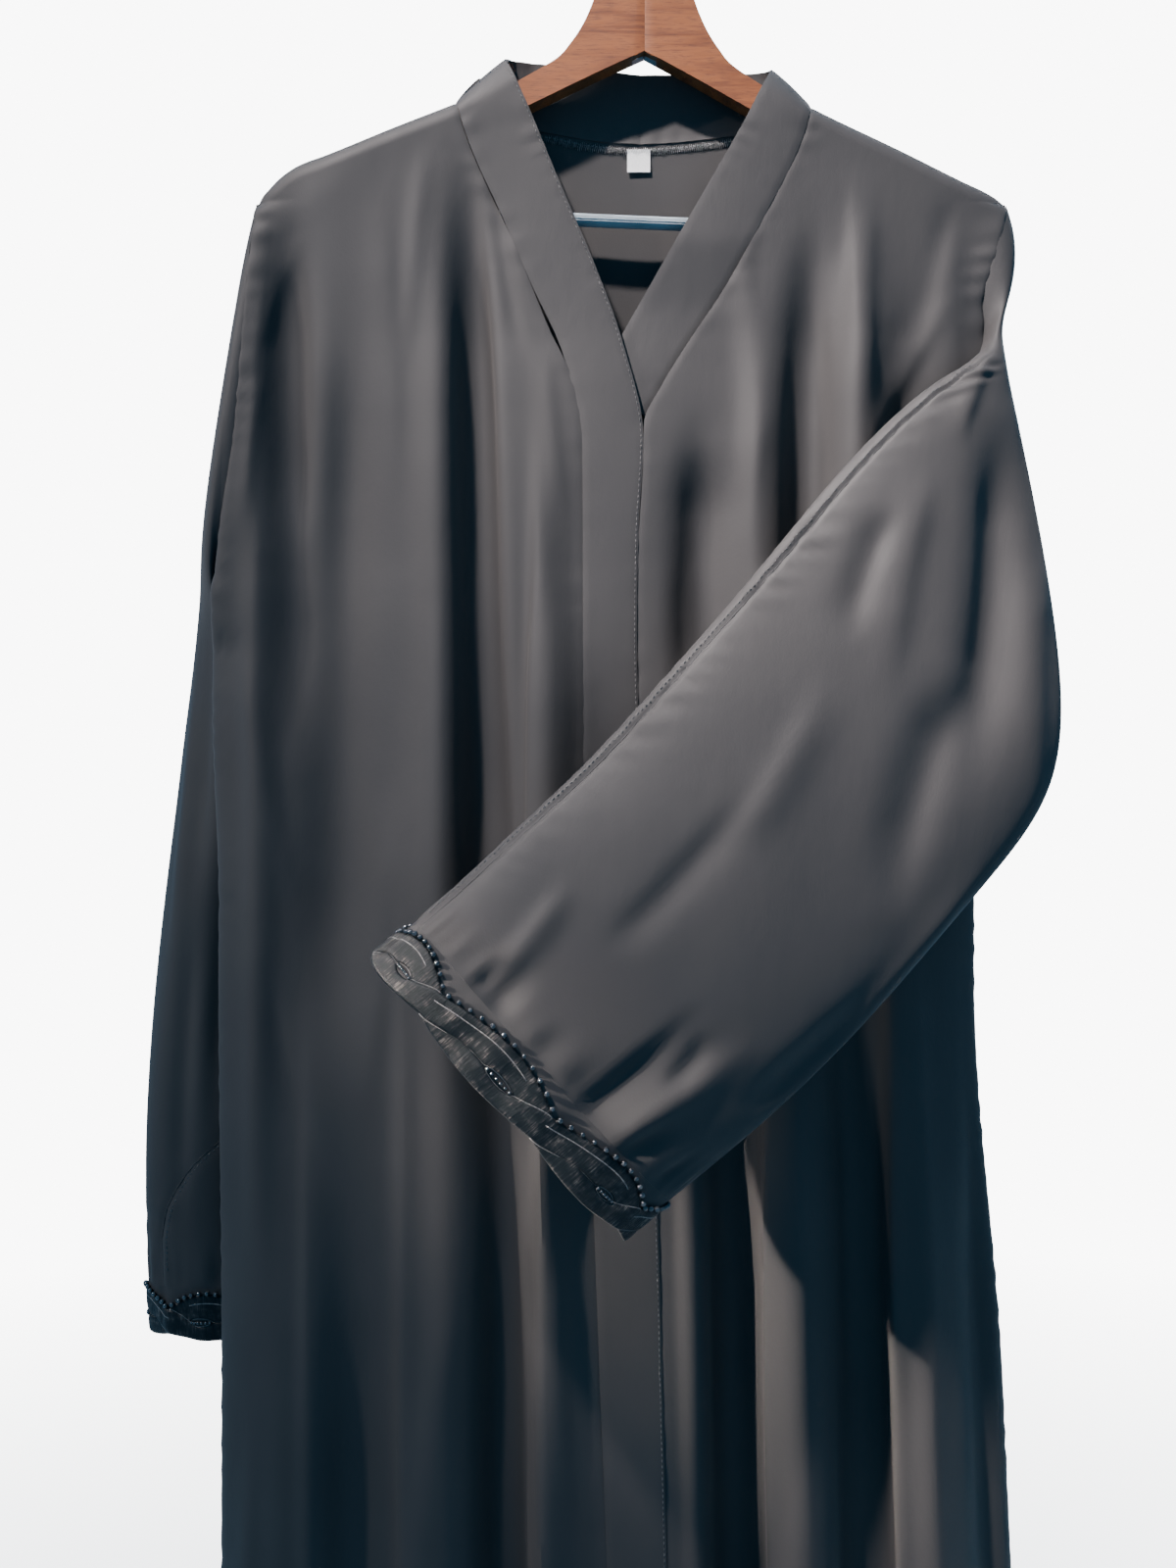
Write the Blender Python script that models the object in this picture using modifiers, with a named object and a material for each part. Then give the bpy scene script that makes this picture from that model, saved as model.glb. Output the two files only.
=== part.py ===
"""Abaya cloak on a wooden hanger.

The garment is a set of cut pieces, each a thin cloth wall: two fronts, a back, two long
sleeves, a stand neckband in two halves (one runs on as the front placket) and two scalloped
cuffs. It hangs from a wooden hanger with a ribbed trouser bar and a wire hook.

Axes: X to the viewer's right, Y away from the viewer, Z up. The origin is the point of the
hook that bears on a rail. Tables and sizes are in millimetres and are scaled when meshes are made.
"""
import math
from collections import namedtuple

import bmesh
import bpy
import numpy as np

MM = 0.001
COLLECTION_NAME = "abaya_cloak_on_hanger"

# Driving dimensions, millimetres
GARMENT_LENGTH = 1372.0          # 54 inches, neck point of the shoulder to hem
NECK_POINT_Z = -153.0
HEM_Z = NECK_POINT_Z - GARMENT_LENGTH
CLOTH = 1.2                      # thickness of a single cloth wall
BAND_CLOTH = 2.0                 # the folded, interfaced band is thicker
SEAM_GAP = 0.5                   # space kept between pieces that are sewn together
SIDE_SEAM_GAP = 0.65             # half the space between front and back below the armholes
TILT = 0.042                     # fall of the hanger toward +X, per millimetre
CREST_RADIUS = 12.0              # rounding of the cloth over the hanger's top edge
SCALLOPS = 7                     # scallops round one cuff
CUFF_LENGTH = 28.0               # cuff from the sleeve's end to the scallops' roots
SCALLOP_DEPTH = 6.0
HANGER_HALF_THICKNESS = 7.0
HOOK_WIRE_RADIUS = 1.7
HOOK_INNER_RADIUS = 19.0
BAR_RADIUS = 4.0
BAR_Z = -224.0

# Shoulder line of the cloth, before the tilt: distance from the middle, height
SHOULDER_ROWS = (
    (0, -110),
    (60, -134),
    (90, -148),
    (106, -155.8),
    (150, -175),
    (190, -193),
    (208, -200.5),
    (221, -210),
    (228, -218),
    (233, -225),
)

# Side edges and half depths of the body by height
BodyRow = namedtuple("BodyRow", "z left right front back fullness")
BODY_ROWS = (
    BodyRow(-150, -233, 217.6, 12.5, 12.5, 12.0),
    BodyRow(-215, -233, 217.6, 13.5, 13.5, 12.0),
    BodyRow(-294, -239, 193.9, 17.0, 17.0, 7.0),
    BodyRow(-306, -240, 198.6, 18.0, 17.7, 6.2),
    BodyRow(-330, -242, 199.0, 20.0, 19.0, 5.0),
    BodyRow(-433, -250, 199.0, 26.0, 24.0, 3.2),
    BodyRow(-446, -253.4, 199.0, 27.0, 24.8, 3.1),
    BodyRow(-551, -255, 198.0, 33.0, 30.0, 2.8),
    BodyRow(-681, -256, 198.0, 39.0, 36.0, 2.6),
    BodyRow(-903, -254, 214.0, 47.0, 44.0, 2.6),
    BodyRow(-1036, -254, 220.0, 52.0, 48.0, 2.6),
    BodyRow(-1600, -264, 250.0, 68.0, 62.0, 2.6),
)
ARMHOLE_RIGHT_LOW_Z = -433.0     # viewer's left, the hanging sleeve
ARMHOLE_RIGHT_HALF = 16.0
ARMHOLE_LEFT_LOW_Z = -293.7      # viewer's right, the raised sleeve
ARMHOLE_LEFT_HALF = 14.0
BACK_TUCK = 0.55                 # how far the back lies in where the hanging sleeve rests on it
BACK_TUCK_REACH = 70.0

# Edges of the neckband and placket: height, x of the outer seam
BAND_RIGHT_SEAM = (
    (-153.4, -112.7),
    (-169, -109.0),
    (-245, -76.2),
    (-294, -56.4),
    (-319, -45.0),
    (-353, -37.6),
    (-398, -37.1),
    (-539, -37.1),
    (-827, -30.1),
    (-1008, -23.4),
    (-1600, -5.0),
)
BAND_RIGHT_EDGE = (
    (-145.8, -74.7),
    (-163.5, -67.7),
    (-222, -43.8),
    (-281, -19.7),
    (-297, -15.1),
    (-322, -6.0),
    (-350, -1.2),
    (-368, -1.5),
    (-445, -5.6),
    (-522, -4.6),
    (-827, 6.8),
    (-1008, 11.0),
    (-1600, 29.0),
)
FRONT_LEFT_SEAM = (
    (-157.0, 99.2),
    (-173, 95.5),
    (-233, 66.8),
    (-270, 46.2),
    (-302, 25.1),
    (-330, 8.3),
    (-350, -0.6),
    (-368, -1.0),
    (-445, -5.1),
    (-522, -4.1),
    (-827, 7.3),
    (-1008, 11.5),
    (-1600, 29.5),
)

# Lengthwise folds: heights, places, half widths and heights of the wave (out is plus)
Fold = namedtuple("Fold", "z_from z_to x_from x_to width_from width_to out_from out_to")
FRONT_FOLDS = (
    Fold(-215, -430, -212, -214, 12, 14, -4, -5),
    Fold(-290, -760, -180, -190, 18, 42, -8, -11),
    Fold(-200, -1600, -117, -108, 15, 26, 7, 15),
    Fold(-180, -700, -106, -80, 9, 15, -8, -9),
    Fold(-430, -760, -57, -58, 14, 16, 8, 9),
    Fold(-700, -1600, -84, -76, 16, 20, -12, -20),
    Fold(-760, -1600, -168, -170, 20, 24, -10, -19),
    Fold(-760, -1600, -212, -214, 20, 24, 8, 15),
    Fold(-360, -520, 36, 36, 20, 20, -6, -6),
    Fold(-230, -620, 92, 90, 15, 18, -8, -9),
    Fold(-240, -620, 118, 116, 13, 16, 6, 7),
    Fold(-270, -620, 152, 150, 18, 20, -8, -9),
    Fold(-600, -1600, 48, 66, 18, 22, -10, -20),
    Fold(-600, -1600, 82, 104, 16, 22, 8, 18),
    Fold(-600, -1600, 122, 146, 18, 22, -10, -20),
    Fold(-600, -1600, 158, 186, 18, 22, 9, 18),
)
BACK_FOLDS = (
    Fold(-240, -1600, -150, -166, 18, 28, -6, -18),
    Fold(-260, -1600, -104, -118, 18, 24, 6, 18),
    Fold(-330, -1600, -62, -70, 18, 24, -6, -20),
    Fold(-230, -1600, -22, -22, 18, 24, 6, 17),
    Fold(-300, -1600, 20, 28, 18, 24, -6, -19),
    Fold(-260, -1600, 62, 78, 18, 24, 7, 18),
    Fold(-310, -1600, 104, 128, 18, 24, -7, -19),
    Fold(-250, -1600, 146, 180, 18, 26, 6, 16),
)
FOLD_FADE = 0.28                 # share of a fold's length over which it rises
TUCK_SETTLE = 40.0               # drop over which the back's tuck grows below the armhole

# Rings of the hanging sleeve: outer edge, underarm edge and half thickness
Ring = namedtuple("Ring", "outer inner half")
SLEEVE_RIGHT_RINGS = (
    Ring((-233, 0, None), (-250, 0, ARMHOLE_RIGHT_LOW_Z), ARMHOLE_RIGHT_HALF),
    Ring((-243, 4, -252), (-254, 4, -436), 22),
    Ring((-254, 13, -310), (-257.5, 12, -441), 29),
    Ring((-265, 23, -372), (-257, 25, -450), 36),
    Ring((-277, 37, -440), (-252, 45, -465), 42),
    Ring((-286, 50, -500), (-245, 63, -500), 47),
    Ring((-293, 50, -560), (-232, 76, -560), 50),
    Ring((-300, 44, -630), (-215, 84, -640), 46),
    Ring((-307, 38, -712), (-198, 94, -720), 44),
    Ring((-310, 32, -795), (-181, 102, -802), 44),
    Ring((-307, 29, -872), (-170, 104, -872), 44),
)
# Rings of the raised sleeve: overarm edge, underarm edge and half thickness
SLEEVE_LEFT_RINGS = (
    Ring((217.6, 0, None), (193.9, 0, ARMHOLE_LEFT_LOW_Z), ARMHOLE_LEFT_HALF),
    Ring((223, -1, -236), (198, -2, -296), 15),
    Ring((222, -4, -258), (200, -5, -298.5), 15),
    Ring((215, -9, -279), (200.5, -9, -302), 14),
    Ring((211, -15, -297), (199, -15, -307), 12.5),
    Ring((211.5, -22, -315), (192, -25, -315), 12),
    Ring((214, -26, -333), (171, -36, -327), 12),
    Ring((218, -29, -354), (140, -46, -353), 14),
    Ring((231, -38, -432), (106, -58, -389), 16),
    Ring((238, -50, -507), (71, -70, -432), 18),
    Ring((232, -62, -564), (40, -79, -469), 20),
    Ring((190, -78, -613), (5, -88, -508), 21),
    Ring((148, -92, -658), (-34, -98, -552), 22),
    Ring((106, -104, -702), (-66, -106, -581), 22),
    Ring((54, -114, -748), (-98, -116, -612), 23),
    Ring((9, -121, -782), (-124, -123, -635), 24),
)

# Stand neckband round the back of the neck: seam point and top edge, from left to right
BACK_NECK_ROWS = (
    (-112.7, -153.4),
    (-108, -158.5),
    (-98, -162.0),
    (-80, -163.5),
    (-61, -164.6),
    (-34, -169.8),
    (-3, -172.2),
    (27, -170.4),
    (55, -167.2),
    (75, -166.0),
    (87, -164.5),
    (95, -161.5),
    (99.2, -157.0),
)
# Top edge of the stand band: share of the way from its front to the centre back, x, y, z
BAND_RIGHT_TOP = (
    (0.0, -71.5, -14.0, -154.5),
    (0.12, -79.0, -9.0, -137.0),
    (0.24, -83.0, 0.0, -126.0),
    (0.40, -79.0, 10.5, -121.5),
    (0.60, -56.0, 14.5, -122.5),
    (1.0, -2.6, 15.5, -128.0),
)
BAND_LEFT_TOP = (
    (0.0, 64.0, -14.0, -158.0),
    (0.12, 72.0, -9.0, -142.0),
    (0.24, 76.0, 0.0, -132.5),
    (0.40, 73.0, 10.5, -128.5),
    (0.60, 52.0, 14.5, -128.0),
    (1.0, -2.0, 15.5, -128.0),
)
BAND_EDGE_RISE_RIGHT = ((-398.0, 0.0), (-353.0, 4.0), (-294.0, 11.0), (-169.0, 14.5))
BAND_EDGE_RISE_LEFT = ((-345.0, 17.0), (-233.0, 20.0), (-173.0, 15.0))
BAND_LEFT_EDGE = (
    (-148.7, 69.0),
    (-167, 59.5),
    (-230, 23.6),
    (-295, -13.5),
    (-320, -27.2),
    (-336, -34.0),
)
CENTRE_BACK_X = -2.3
NECK_RIGHT_Z = -153.4            # neck points: wearer's right, wearer's left
NECK_LEFT_Z = -157.0
BAND_LEFT_END_Z = -345.0
UNDERLAP_DEPTH = 2.8             # the crossing band lies this far behind the upper one
UNDERLAP_START_Z = -240.0        # it starts to sink here
UNDERLAP_SETTLE = 40.0           # and is fully behind after this drop
SHOULDER_SHARE = 0.24            # place of the shoulder seam along the stand band

# Outline of one hanger half: distance from the middle, height, before the tilt
HANGER_TOP = (
    (0, -60), (12, -61.5), (21, -69), (26, -79), (29, -89), (33, -100), (38, -110.5),
    (45, -121), (53, -130), (73, -142.6), (90, -152.4), (106, -160.6), (150, -179.2), (190, -197),
    (201, -202.6), (206, -208),
)
HANGER_END = (
    (207, -216), (206, -227), (202, -232), (195, -232), (190.5, -228), (190, -217),
)
HANGER_UNDER = (
    (180, -212), (150, -198), (106, -178), (69, -158.5), (30, -138), (0, -123),
)
HANGER_JOINT_GAP = 0.2
HANGER_EDGE = 3.0
BAR_HALF_LENGTH = 189.6
BAR_RIBS = 14
BAR_GROOVE = 0.88                # radius at the grooves, share of the ridges' radius
HOOK_CENTRE_Z = -19.0
HOOK_STEM_LOW_Z = -60.25
HOOK_STEM_TOP_Z = -50.0
HOOK_START = -60.0               # degrees round the loop
HOOK_END = 205.0
HOOK_STEPS = 22
HOOK_BEND_STEPS = 7
HOOK_BEND_PULL = 11.0            # how far the stem's bend reaches toward the loop

# Size tab under the back neck seam
LABEL_LEFT, LABEL_RIGHT = -10.0, 4.0
LABEL_TOP, LABEL_LOW = -175.0, -189.0
LABEL_THICKNESS = 1.0

# Grid sizes
PANEL_ROWS = 27
FRONT_COLUMNS = 19
SHOULDER_COLUMNS = 10
SLEEVE_COLUMNS = 22
SLEEVE_ROWS = 24
CUFF_COLUMNS_PER_SCALLOP = 6
CUFF_ROWS = 6
BAND_COLUMNS = 4
CREST_SHARES = (0.0, 0.0009, 0.0034, 0.0092, 0.018, 0.030)  # rows over the shoulder crest
ROW_GROWTH = 1.25                # rows lie further apart toward the hem
EDGE_DRAW = 0.55                 # how strongly columns draw toward a rounded edge
STAND_BACK_SHARES = (1.0, 0.85, 0.70, 0.56, 0.44, 0.35, 0.29, 0.26, 0.24)
STAND_FRONT_SHARES = (0.19, 0.13, 0.06)

# Satin bands on the cuffs
BAND_MIDDLE = 17.0
BAND_SWING = 10.0
SATIN_HALF_WIDTH = 6.5
SATIN_RAISE = 1.4

ColourRow = namedtuple("ColourRow", "colour roughness metallic")
FINISHES = {
    "crepe": ColourRow((0.020, 0.021, 0.023), 0.62, 0.0),
    "satin_trim": ColourRow((0.028, 0.030, 0.033), 0.38, 0.0),
    "white_tab": ColourRow((0.75, 0.74, 0.72), 0.70, 0.0),
    "wood": ColourRow((0.36, 0.15, 0.07), 0.45, 0.0),
    "ribbed_bar": ColourRow((0.17, 0.21, 0.24), 0.50, 0.0),
    "steel": ColourRow((0.62, 0.63, 0.65), 0.28, 1.0),
}


class Track:
    """Smooth run of values through table rows, keyed by the first column, without overshoot."""

    def __init__(self, rows):
        table = np.array(sorted(rows), dtype=float)
        self.keys = table[:, 0]
        self.values = table[:, 1:]
        slopes = np.diff(self.values, axis=0) / np.diff(self.keys)[:, None]
        before, after = slopes[:-1], slopes[1:]
        product = before * after
        total = np.where(product > 0, before + after, 1.0)
        inner = np.where(product > 0, 2.0 * product / total, 0.0)
        self.slopes = np.vstack([slopes[:1], inner, slopes[-1:]])

    def __call__(self, key):
        key = min(max(key, self.keys[0]), self.keys[-1])
        span = int(np.searchsorted(self.keys, key, side="right")) - 1
        span = min(max(span, 0), len(self.keys) - 2)
        width = self.keys[span + 1] - self.keys[span]
        t = (key - self.keys[span]) / width
        start = (1 + 2 * t) * (1 - t) ** 2
        end = t * t * (3 - 2 * t)
        rise = t * (1 - t) ** 2 * width
        fall = t * t * (t - 1) * width
        value = (start * self.values[span] + end * self.values[span + 1]
                 + rise * self.slopes[span] + fall * self.slopes[span + 1])
        return value if len(value) > 1 else float(value[0])


shoulder = Track(SHOULDER_ROWS)
body = Track(BODY_ROWS)
band_right_seam = Track(BAND_RIGHT_SEAM)
band_right_edge = Track(BAND_RIGHT_EDGE)
front_left_seam = Track(FRONT_LEFT_SEAM)
back_neck = Track(BACK_NECK_ROWS)


def shoulder_z(x):
    return shoulder(abs(x)) - TILT * x


LEFT_END_X = BODY_ROWS[0].left
RIGHT_END_X = BODY_ROWS[0].right
NECK_LEFT_X = BACK_NECK_ROWS[0][0]
NECK_RIGHT_X = BACK_NECK_ROWS[-1][0]
LEFT_END_Z = shoulder_z(LEFT_END_X)
RIGHT_END_Z = shoulder_z(RIGHT_END_X)


def armhole_x(z, end_x, end_z, low_x, low_z):
    share = (z - end_z) / (low_z - end_z)
    return end_x + (low_x - end_x) * share


def side_x(z, side):
    """Side edge of the body: the armhole line first, then the side seam."""
    if side < 0:
        ring = SLEEVE_RIGHT_RINGS[0]
        if z > ring.inner[2]:
            return armhole_x(z, LEFT_END_X, LEFT_END_Z, ring.inner[0], ring.inner[2])
        return body(z)[0]
    ring = SLEEVE_LEFT_RINGS[0]
    if z > ring.inner[2]:
        return armhole_x(z, RIGHT_END_X, RIGHT_END_Z, ring.inner[0], ring.inner[2])
    return body(z)[1]


def panel_edge_x(z, side):
    """Outer edge of a front or the back, held off the sleeve along the armhole."""
    low = ARMHOLE_RIGHT_LOW_Z if side < 0 else ARMHOLE_LEFT_LOW_Z
    gap = SEAM_GAP if z > low else 0.0
    return side_x(z, side) - side * gap


def side_half(z, side):
    """Half depth of the body at its side edge: open at the armhole, closed at the side seam."""
    if side < 0:
        top, low, half = LEFT_END_Z, ARMHOLE_RIGHT_LOW_Z, ARMHOLE_RIGHT_HALF
    else:
        top, low, half = RIGHT_END_Z, ARMHOLE_LEFT_LOW_Z, ARMHOLE_LEFT_HALF
    across = (z - (top + low) / 2) / ((top - low) / 2)
    opening = half * math.sqrt(max(0.0, 1.0 - across * across))
    return max(opening, SIDE_SEAM_GAP)


def crest(x, z):
    """Share of the full depth reached this far below the shoulder crest."""
    below = min(max((shoulder_z(x) - z) / CREST_RADIUS, 0.0), 1.0)
    return math.sqrt(1.0 - (1.0 - below) ** 2)


def fold_out(folds, x, z):
    total = 0.0
    for fold in folds:
        along = (fold.z_from - z) / (fold.z_from - fold.z_to)
        if not 0.0 < along < 1.0:
            continue
        ends_low = fold.z_to > HEM_Z
        fade = min(1.0, along / FOLD_FADE)
        if ends_low:
            fade = min(fade, (1.0 - along) / FOLD_FADE)
        fade = fade * fade * (3 - 2 * fade)
        place = fold.x_from + (fold.x_to - fold.x_from) * along
        width = fold.width_from + (fold.width_to - fold.width_from) * along
        out = fold.out_from + (fold.out_to - fold.out_from) * along
        total += out * fade * math.exp(-((x - place) / width) ** 2)
    return total


def across_body(x, z):
    left = panel_edge_x(min(z, LEFT_END_Z), -1)
    right = panel_edge_x(min(z, RIGHT_END_Z), 1)
    place = (2 * x - left - right) / (right - left)
    fullness = body(z)[4]
    spread = math.sqrt(max(0.0, 1.0 - min(abs(place), 1.0) ** fullness))
    return place, spread, x - left


def front_y(x, z):
    place, spread, _ = across_body(x, z)
    edge = side_half(z, place)
    depth = crest(x, z) * body(z)[2] + fold_out(FRONT_FOLDS, x, z)
    return -max(edge + (depth - edge) * spread, SIDE_SEAM_GAP)


def back_y(x, z):
    place, spread, from_left = across_body(x, z)
    edge = side_half(z, place)
    depth = crest(x, z) * body(z)[3] + fold_out(BACK_FOLDS, x, z)
    if z < ARMHOLE_RIGHT_LOW_Z:
        settle = min(1.0, (ARMHOLE_RIGHT_LOW_Z - z) / TUCK_SETTLE)
        depth *= 1.0 - BACK_TUCK * settle * math.exp(-(from_left / BACK_TUCK_REACH) ** 2)
    return max(edge + (depth - edge) * spread, SIDE_SEAM_GAP)


def drop_rows(count):
    """Shares of the drop from shoulder to hem, close together over the crest."""
    rest = count - len(CREST_SHARES)
    last = CREST_SHARES[-1]
    lower = [last + (1 - last) * ((i + 1) / rest) ** ROW_GROWTH for i in range(rest)]
    return list(CREST_SHARES) + lower


def edge_spacing(count):
    """Shares from 0 to 1, drawn toward 0, where the cloth turns round its outer edge."""
    shares = []
    for i in range(count):
        t = i / (count - 1)
        shares.append((1 - EDGE_DRAW) * t + EDGE_DRAW * (1 - math.cos(math.pi * t / 2)))
    return shares


def new_material(name, finish):
    row = FINISHES[finish]
    material = bpy.data.materials.new(name + "_" + finish)
    material.use_nodes = True
    shader = material.node_tree.nodes["Principled BSDF"]
    shader.inputs["Base Color"].default_value = (*row.colour, 1.0)
    shader.inputs["Roughness"].default_value = row.roughness
    shader.inputs["Metallic"].default_value = row.metallic
    material.diffuse_color = (*row.colour, 1.0)
    return material


def new_object(name, data, finish):
    obj = bpy.data.objects.new(name, data)
    collection.objects.link(obj)
    data.materials.append(new_material(name, finish))
    return obj


def grid_faces(rows, columns, closed):
    faces = []
    wrap = columns if closed else columns - 1
    for i in range(rows - 1):
        for j in range(wrap):
            k = (j + 1) % columns
            faces.append((i * columns + j, i * columns + k,
                          (i + 1) * columns + k, (i + 1) * columns + j))
    return faces


def cloth_sheet(name, grid, finish, thickness=CLOTH, closed=False, flip=False):
    """Cloth wall: an open grid of outer points, thickened inward by Solidify."""
    rows, columns = len(grid), len(grid[0])
    points = [tuple(c * MM for c in point) for row in grid for point in row]
    faces = grid_faces(rows, columns, closed)
    if flip:
        faces = [tuple(reversed(face)) for face in faces]
    mesh = bpy.data.meshes.new(name)
    mesh.from_pydata(points, [], faces)
    mesh.shade_smooth()
    obj = new_object(name, mesh, finish)
    wall = obj.modifiers.new("cloth", "SOLIDIFY")
    wall.thickness = thickness * MM
    wall.offset = -1.0
    wall.use_even_offset = False
    return obj


def front_panel(name, end_x, end_z, seam, neck_z, side):
    """One front: shoulder, armhole and side seam outside, band seam inside."""
    grid = []
    neck_x = seam(neck_z)
    for share in drop_rows(PANEL_ROWS):
        row = []
        side_row_z = end_z + (HEM_Z - end_z) * share
        seam_row_z = neck_z + (HEM_Z - neck_z) * share
        outer = panel_edge_x(side_row_z, side)
        inner = seam(seam_row_z) + side * SEAM_GAP
        for across in edge_spacing(FRONT_COLUMNS):
            x = outer + (inner - outer) * across
            top_x = end_x + (neck_x - end_x) * across
            top_z = shoulder_z(top_x)
            z = top_z + (HEM_Z - top_z) * share
            row.append((x, front_y(x, z), z))
        grid.append(row)
    return cloth_sheet(name, grid, "crepe", flip=side > 0)


def back_top_z(x):
    if NECK_LEFT_X < x < NECK_RIGHT_X:
        return back_neck(x) - SEAM_GAP
    return shoulder_z(x)


def stand_back_x(share, neck_x, centre_x):
    """Place along the back neck of a row of the stand band."""
    return neck_x + (centre_x - neck_x) * (share - SHOULDER_SHARE) / (1 - SHOULDER_SHARE)


def back_top_places():
    """Places of the back's columns along its top edge, with one close by each neck point."""
    places = []
    for across in edge_spacing(SHOULDER_COLUMNS):
        places.append(LEFT_END_X + (NECK_LEFT_X - LEFT_END_X) * across)
    for share in reversed(STAND_BACK_SHARES[:-1]):
        places.append(stand_back_x(share, NECK_LEFT_X, CENTRE_BACK_X))
    for share in STAND_BACK_SHARES[1:-1]:
        places.append(stand_back_x(share, NECK_RIGHT_X, CENTRE_BACK_X))
    for across in reversed(edge_spacing(SHOULDER_COLUMNS)):
        places.append(RIGHT_END_X + (NECK_RIGHT_X - RIGHT_END_X) * across)
    return places


def back_panel():
    grid = []
    places = back_top_places()
    for share in drop_rows(PANEL_ROWS):
        row = []
        left = panel_edge_x(LEFT_END_Z + (HEM_Z - LEFT_END_Z) * share, -1)
        right = panel_edge_x(RIGHT_END_Z + (HEM_Z - RIGHT_END_Z) * share, 1)
        for top_x in places:
            across = (top_x - LEFT_END_X) / (RIGHT_END_X - LEFT_END_X)
            x = left + (right - left) * across
            top_z = back_top_z(top_x)
            z = top_z + (HEM_Z - top_z) * share
            row.append((x, back_y(x, z), z))
        grid.append(row)
    return cloth_sheet("back", grid, "crepe", flip=True)


def sleeve_ring(ring_values, count):
    """Points of one ring from its underarm edge, through the front, to the overarm edge and back."""
    outer = np.array(ring_values[0:3])
    inner = np.array(ring_values[3:6])
    half = ring_values[6]
    centre = (outer + inner) / 2
    reach = (outer - inner) / 2
    along = reach / np.linalg.norm(reach)
    forward = np.array((0.0, -1.0, 0.0))
    forward = forward - forward.dot(along) * along
    forward = forward / np.linalg.norm(forward) * half
    points = []
    for i in range(count):
        turn = 2 * math.pi * i / count
        points.append(centre - reach * math.cos(turn) + forward * math.sin(turn))
    return points


def sleeve_track(rings, end_z):
    rows = []
    for index, ring in enumerate(rings):
        outer = [end_z if value is None else value for value in ring.outer]
        rows.append((index, *outer, *ring.inner, ring.half))
    return Track(rows)


def sleeve(name, track, last, gap_shift, flip):
    grid = []
    for i in range(SLEEVE_ROWS):
        ring = sleeve_ring(track(last * i / (SLEEVE_ROWS - 1)), SLEEVE_COLUMNS)
        if i == 0:
            ring = [point + np.array((gap_shift, 0.0, 0.0)) for point in ring]
        grid.append([tuple(point) for point in ring])
    return cloth_sheet(name, grid, "crepe", closed=True, flip=flip)


def wall_between(name, outer, inner, finish, flip):
    """Closed ring wall from its outer and inner grids, which share their shape."""
    rows, columns = len(outer), len(outer[0])
    points = [tuple(c * MM for c in p) for grid in (outer, inner) for row in grid for p in row]
    shift = rows * columns
    skin = grid_faces(rows, columns, True)
    faces = list(skin)
    faces += [tuple(index + shift for index in reversed(face)) for face in skin]
    for j in range(columns):
        k = (j + 1) % columns
        low = (rows - 1) * columns
        faces.append((k, j, j + shift, k + shift))
        faces.append((low + j, low + k, low + k + shift, low + j + shift))
    if flip:
        faces = [tuple(reversed(face)) for face in faces]
    mesh = bpy.data.meshes.new(name)
    mesh.from_pydata(points, [], faces)
    mesh.shade_smooth()
    return new_object(name, mesh, finish)


def cuff(name, track, last, flip):
    """Scalloped end of a sleeve with two crossing satin bands raised on its outside."""
    columns = SCALLOPS * CUFF_COLUMNS_PER_SCALLOP
    end = sleeve_ring(track(last), columns)
    before = sleeve_ring(track(last - 0.25), columns)
    centre = sum(end) / columns
    axis = centre - sum(before) / columns
    axis = axis / np.linalg.norm(axis)
    outer, inner = [], []
    for i in range(CUFF_ROWS):
        outer_row, inner_row = [], []
        for j, point in enumerate(end):
            wave = abs(math.sin(math.pi * j / CUFF_COLUMNS_PER_SCALLOP))
            length = CUFF_LENGTH + SCALLOP_DEPTH * wave
            reach = length * i / (CUFF_ROWS - 1)
            band = BAND_MIDDLE - reach
            near = min(abs(band - BAND_SWING * wave), abs(band + BAND_SWING * wave))
            raised = SATIN_RAISE * max(0.0, 1.0 - (near / SATIN_HALF_WIDTH) ** 2)
            away = point - centre
            away = away - away.dot(axis) * axis
            away = away / np.linalg.norm(away)
            start = point + axis * (SEAM_GAP + reach)
            outer_row.append(start + away * raised)
            inner_row.append(start - away * CLOTH)
        outer.append(outer_row)
        inner.append(inner_row)
    return wall_between(name, outer, inner, "satin_trim", flip)


def band_column_points(seam, top, y_of):
    """Points across the band from its seam to its free edge, lying on the surface y_of."""
    points = []
    for i in range(BAND_COLUMNS):
        across = i / (BAND_COLUMNS - 1)
        x, y, z = (seam[k] + (top[k] - seam[k]) * across for k in range(3))
        points.append((x, y if y_of is None else y_of(x, z), z))
    return points


def stand_rows(seam_x, side, neck_z, top_rows):
    """The part of a band that stands round the neck, from the centre back to the front."""
    top_track = Track(top_rows)
    neck_x = NECK_LEFT_X if side < 0 else NECK_RIGHT_X
    rows = []
    for share in STAND_BACK_SHARES:
        x = stand_back_x(share, neck_x, CENTRE_BACK_X + side * SEAM_GAP / 2)
        z = back_neck(x) + SEAM_GAP
        rows.append(band_column_points((x, back_y(x, z), z), tuple(top_track(share)), None))
    for share, drop in zip(STAND_FRONT_SHARES, drop_rows(PANEL_ROWS)[1:]):
        z = neck_z + (HEM_Z - neck_z) * drop
        x = seam_x(z)
        rows.append(band_column_points((x, front_y(x, z), z), tuple(top_track(share)), None))
    return rows


def band_front_heights(neck_z, low_z):
    """Heights of the band's rows down the front: those of the panel sewn to it."""
    skipped = 1 + len(STAND_FRONT_SHARES)
    heights = [neck_z + (HEM_Z - neck_z) * drop for drop in drop_rows(PANEL_ROWS)[skipped:]]
    return [z for z in heights if z >= low_z - 1.0]


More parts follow.
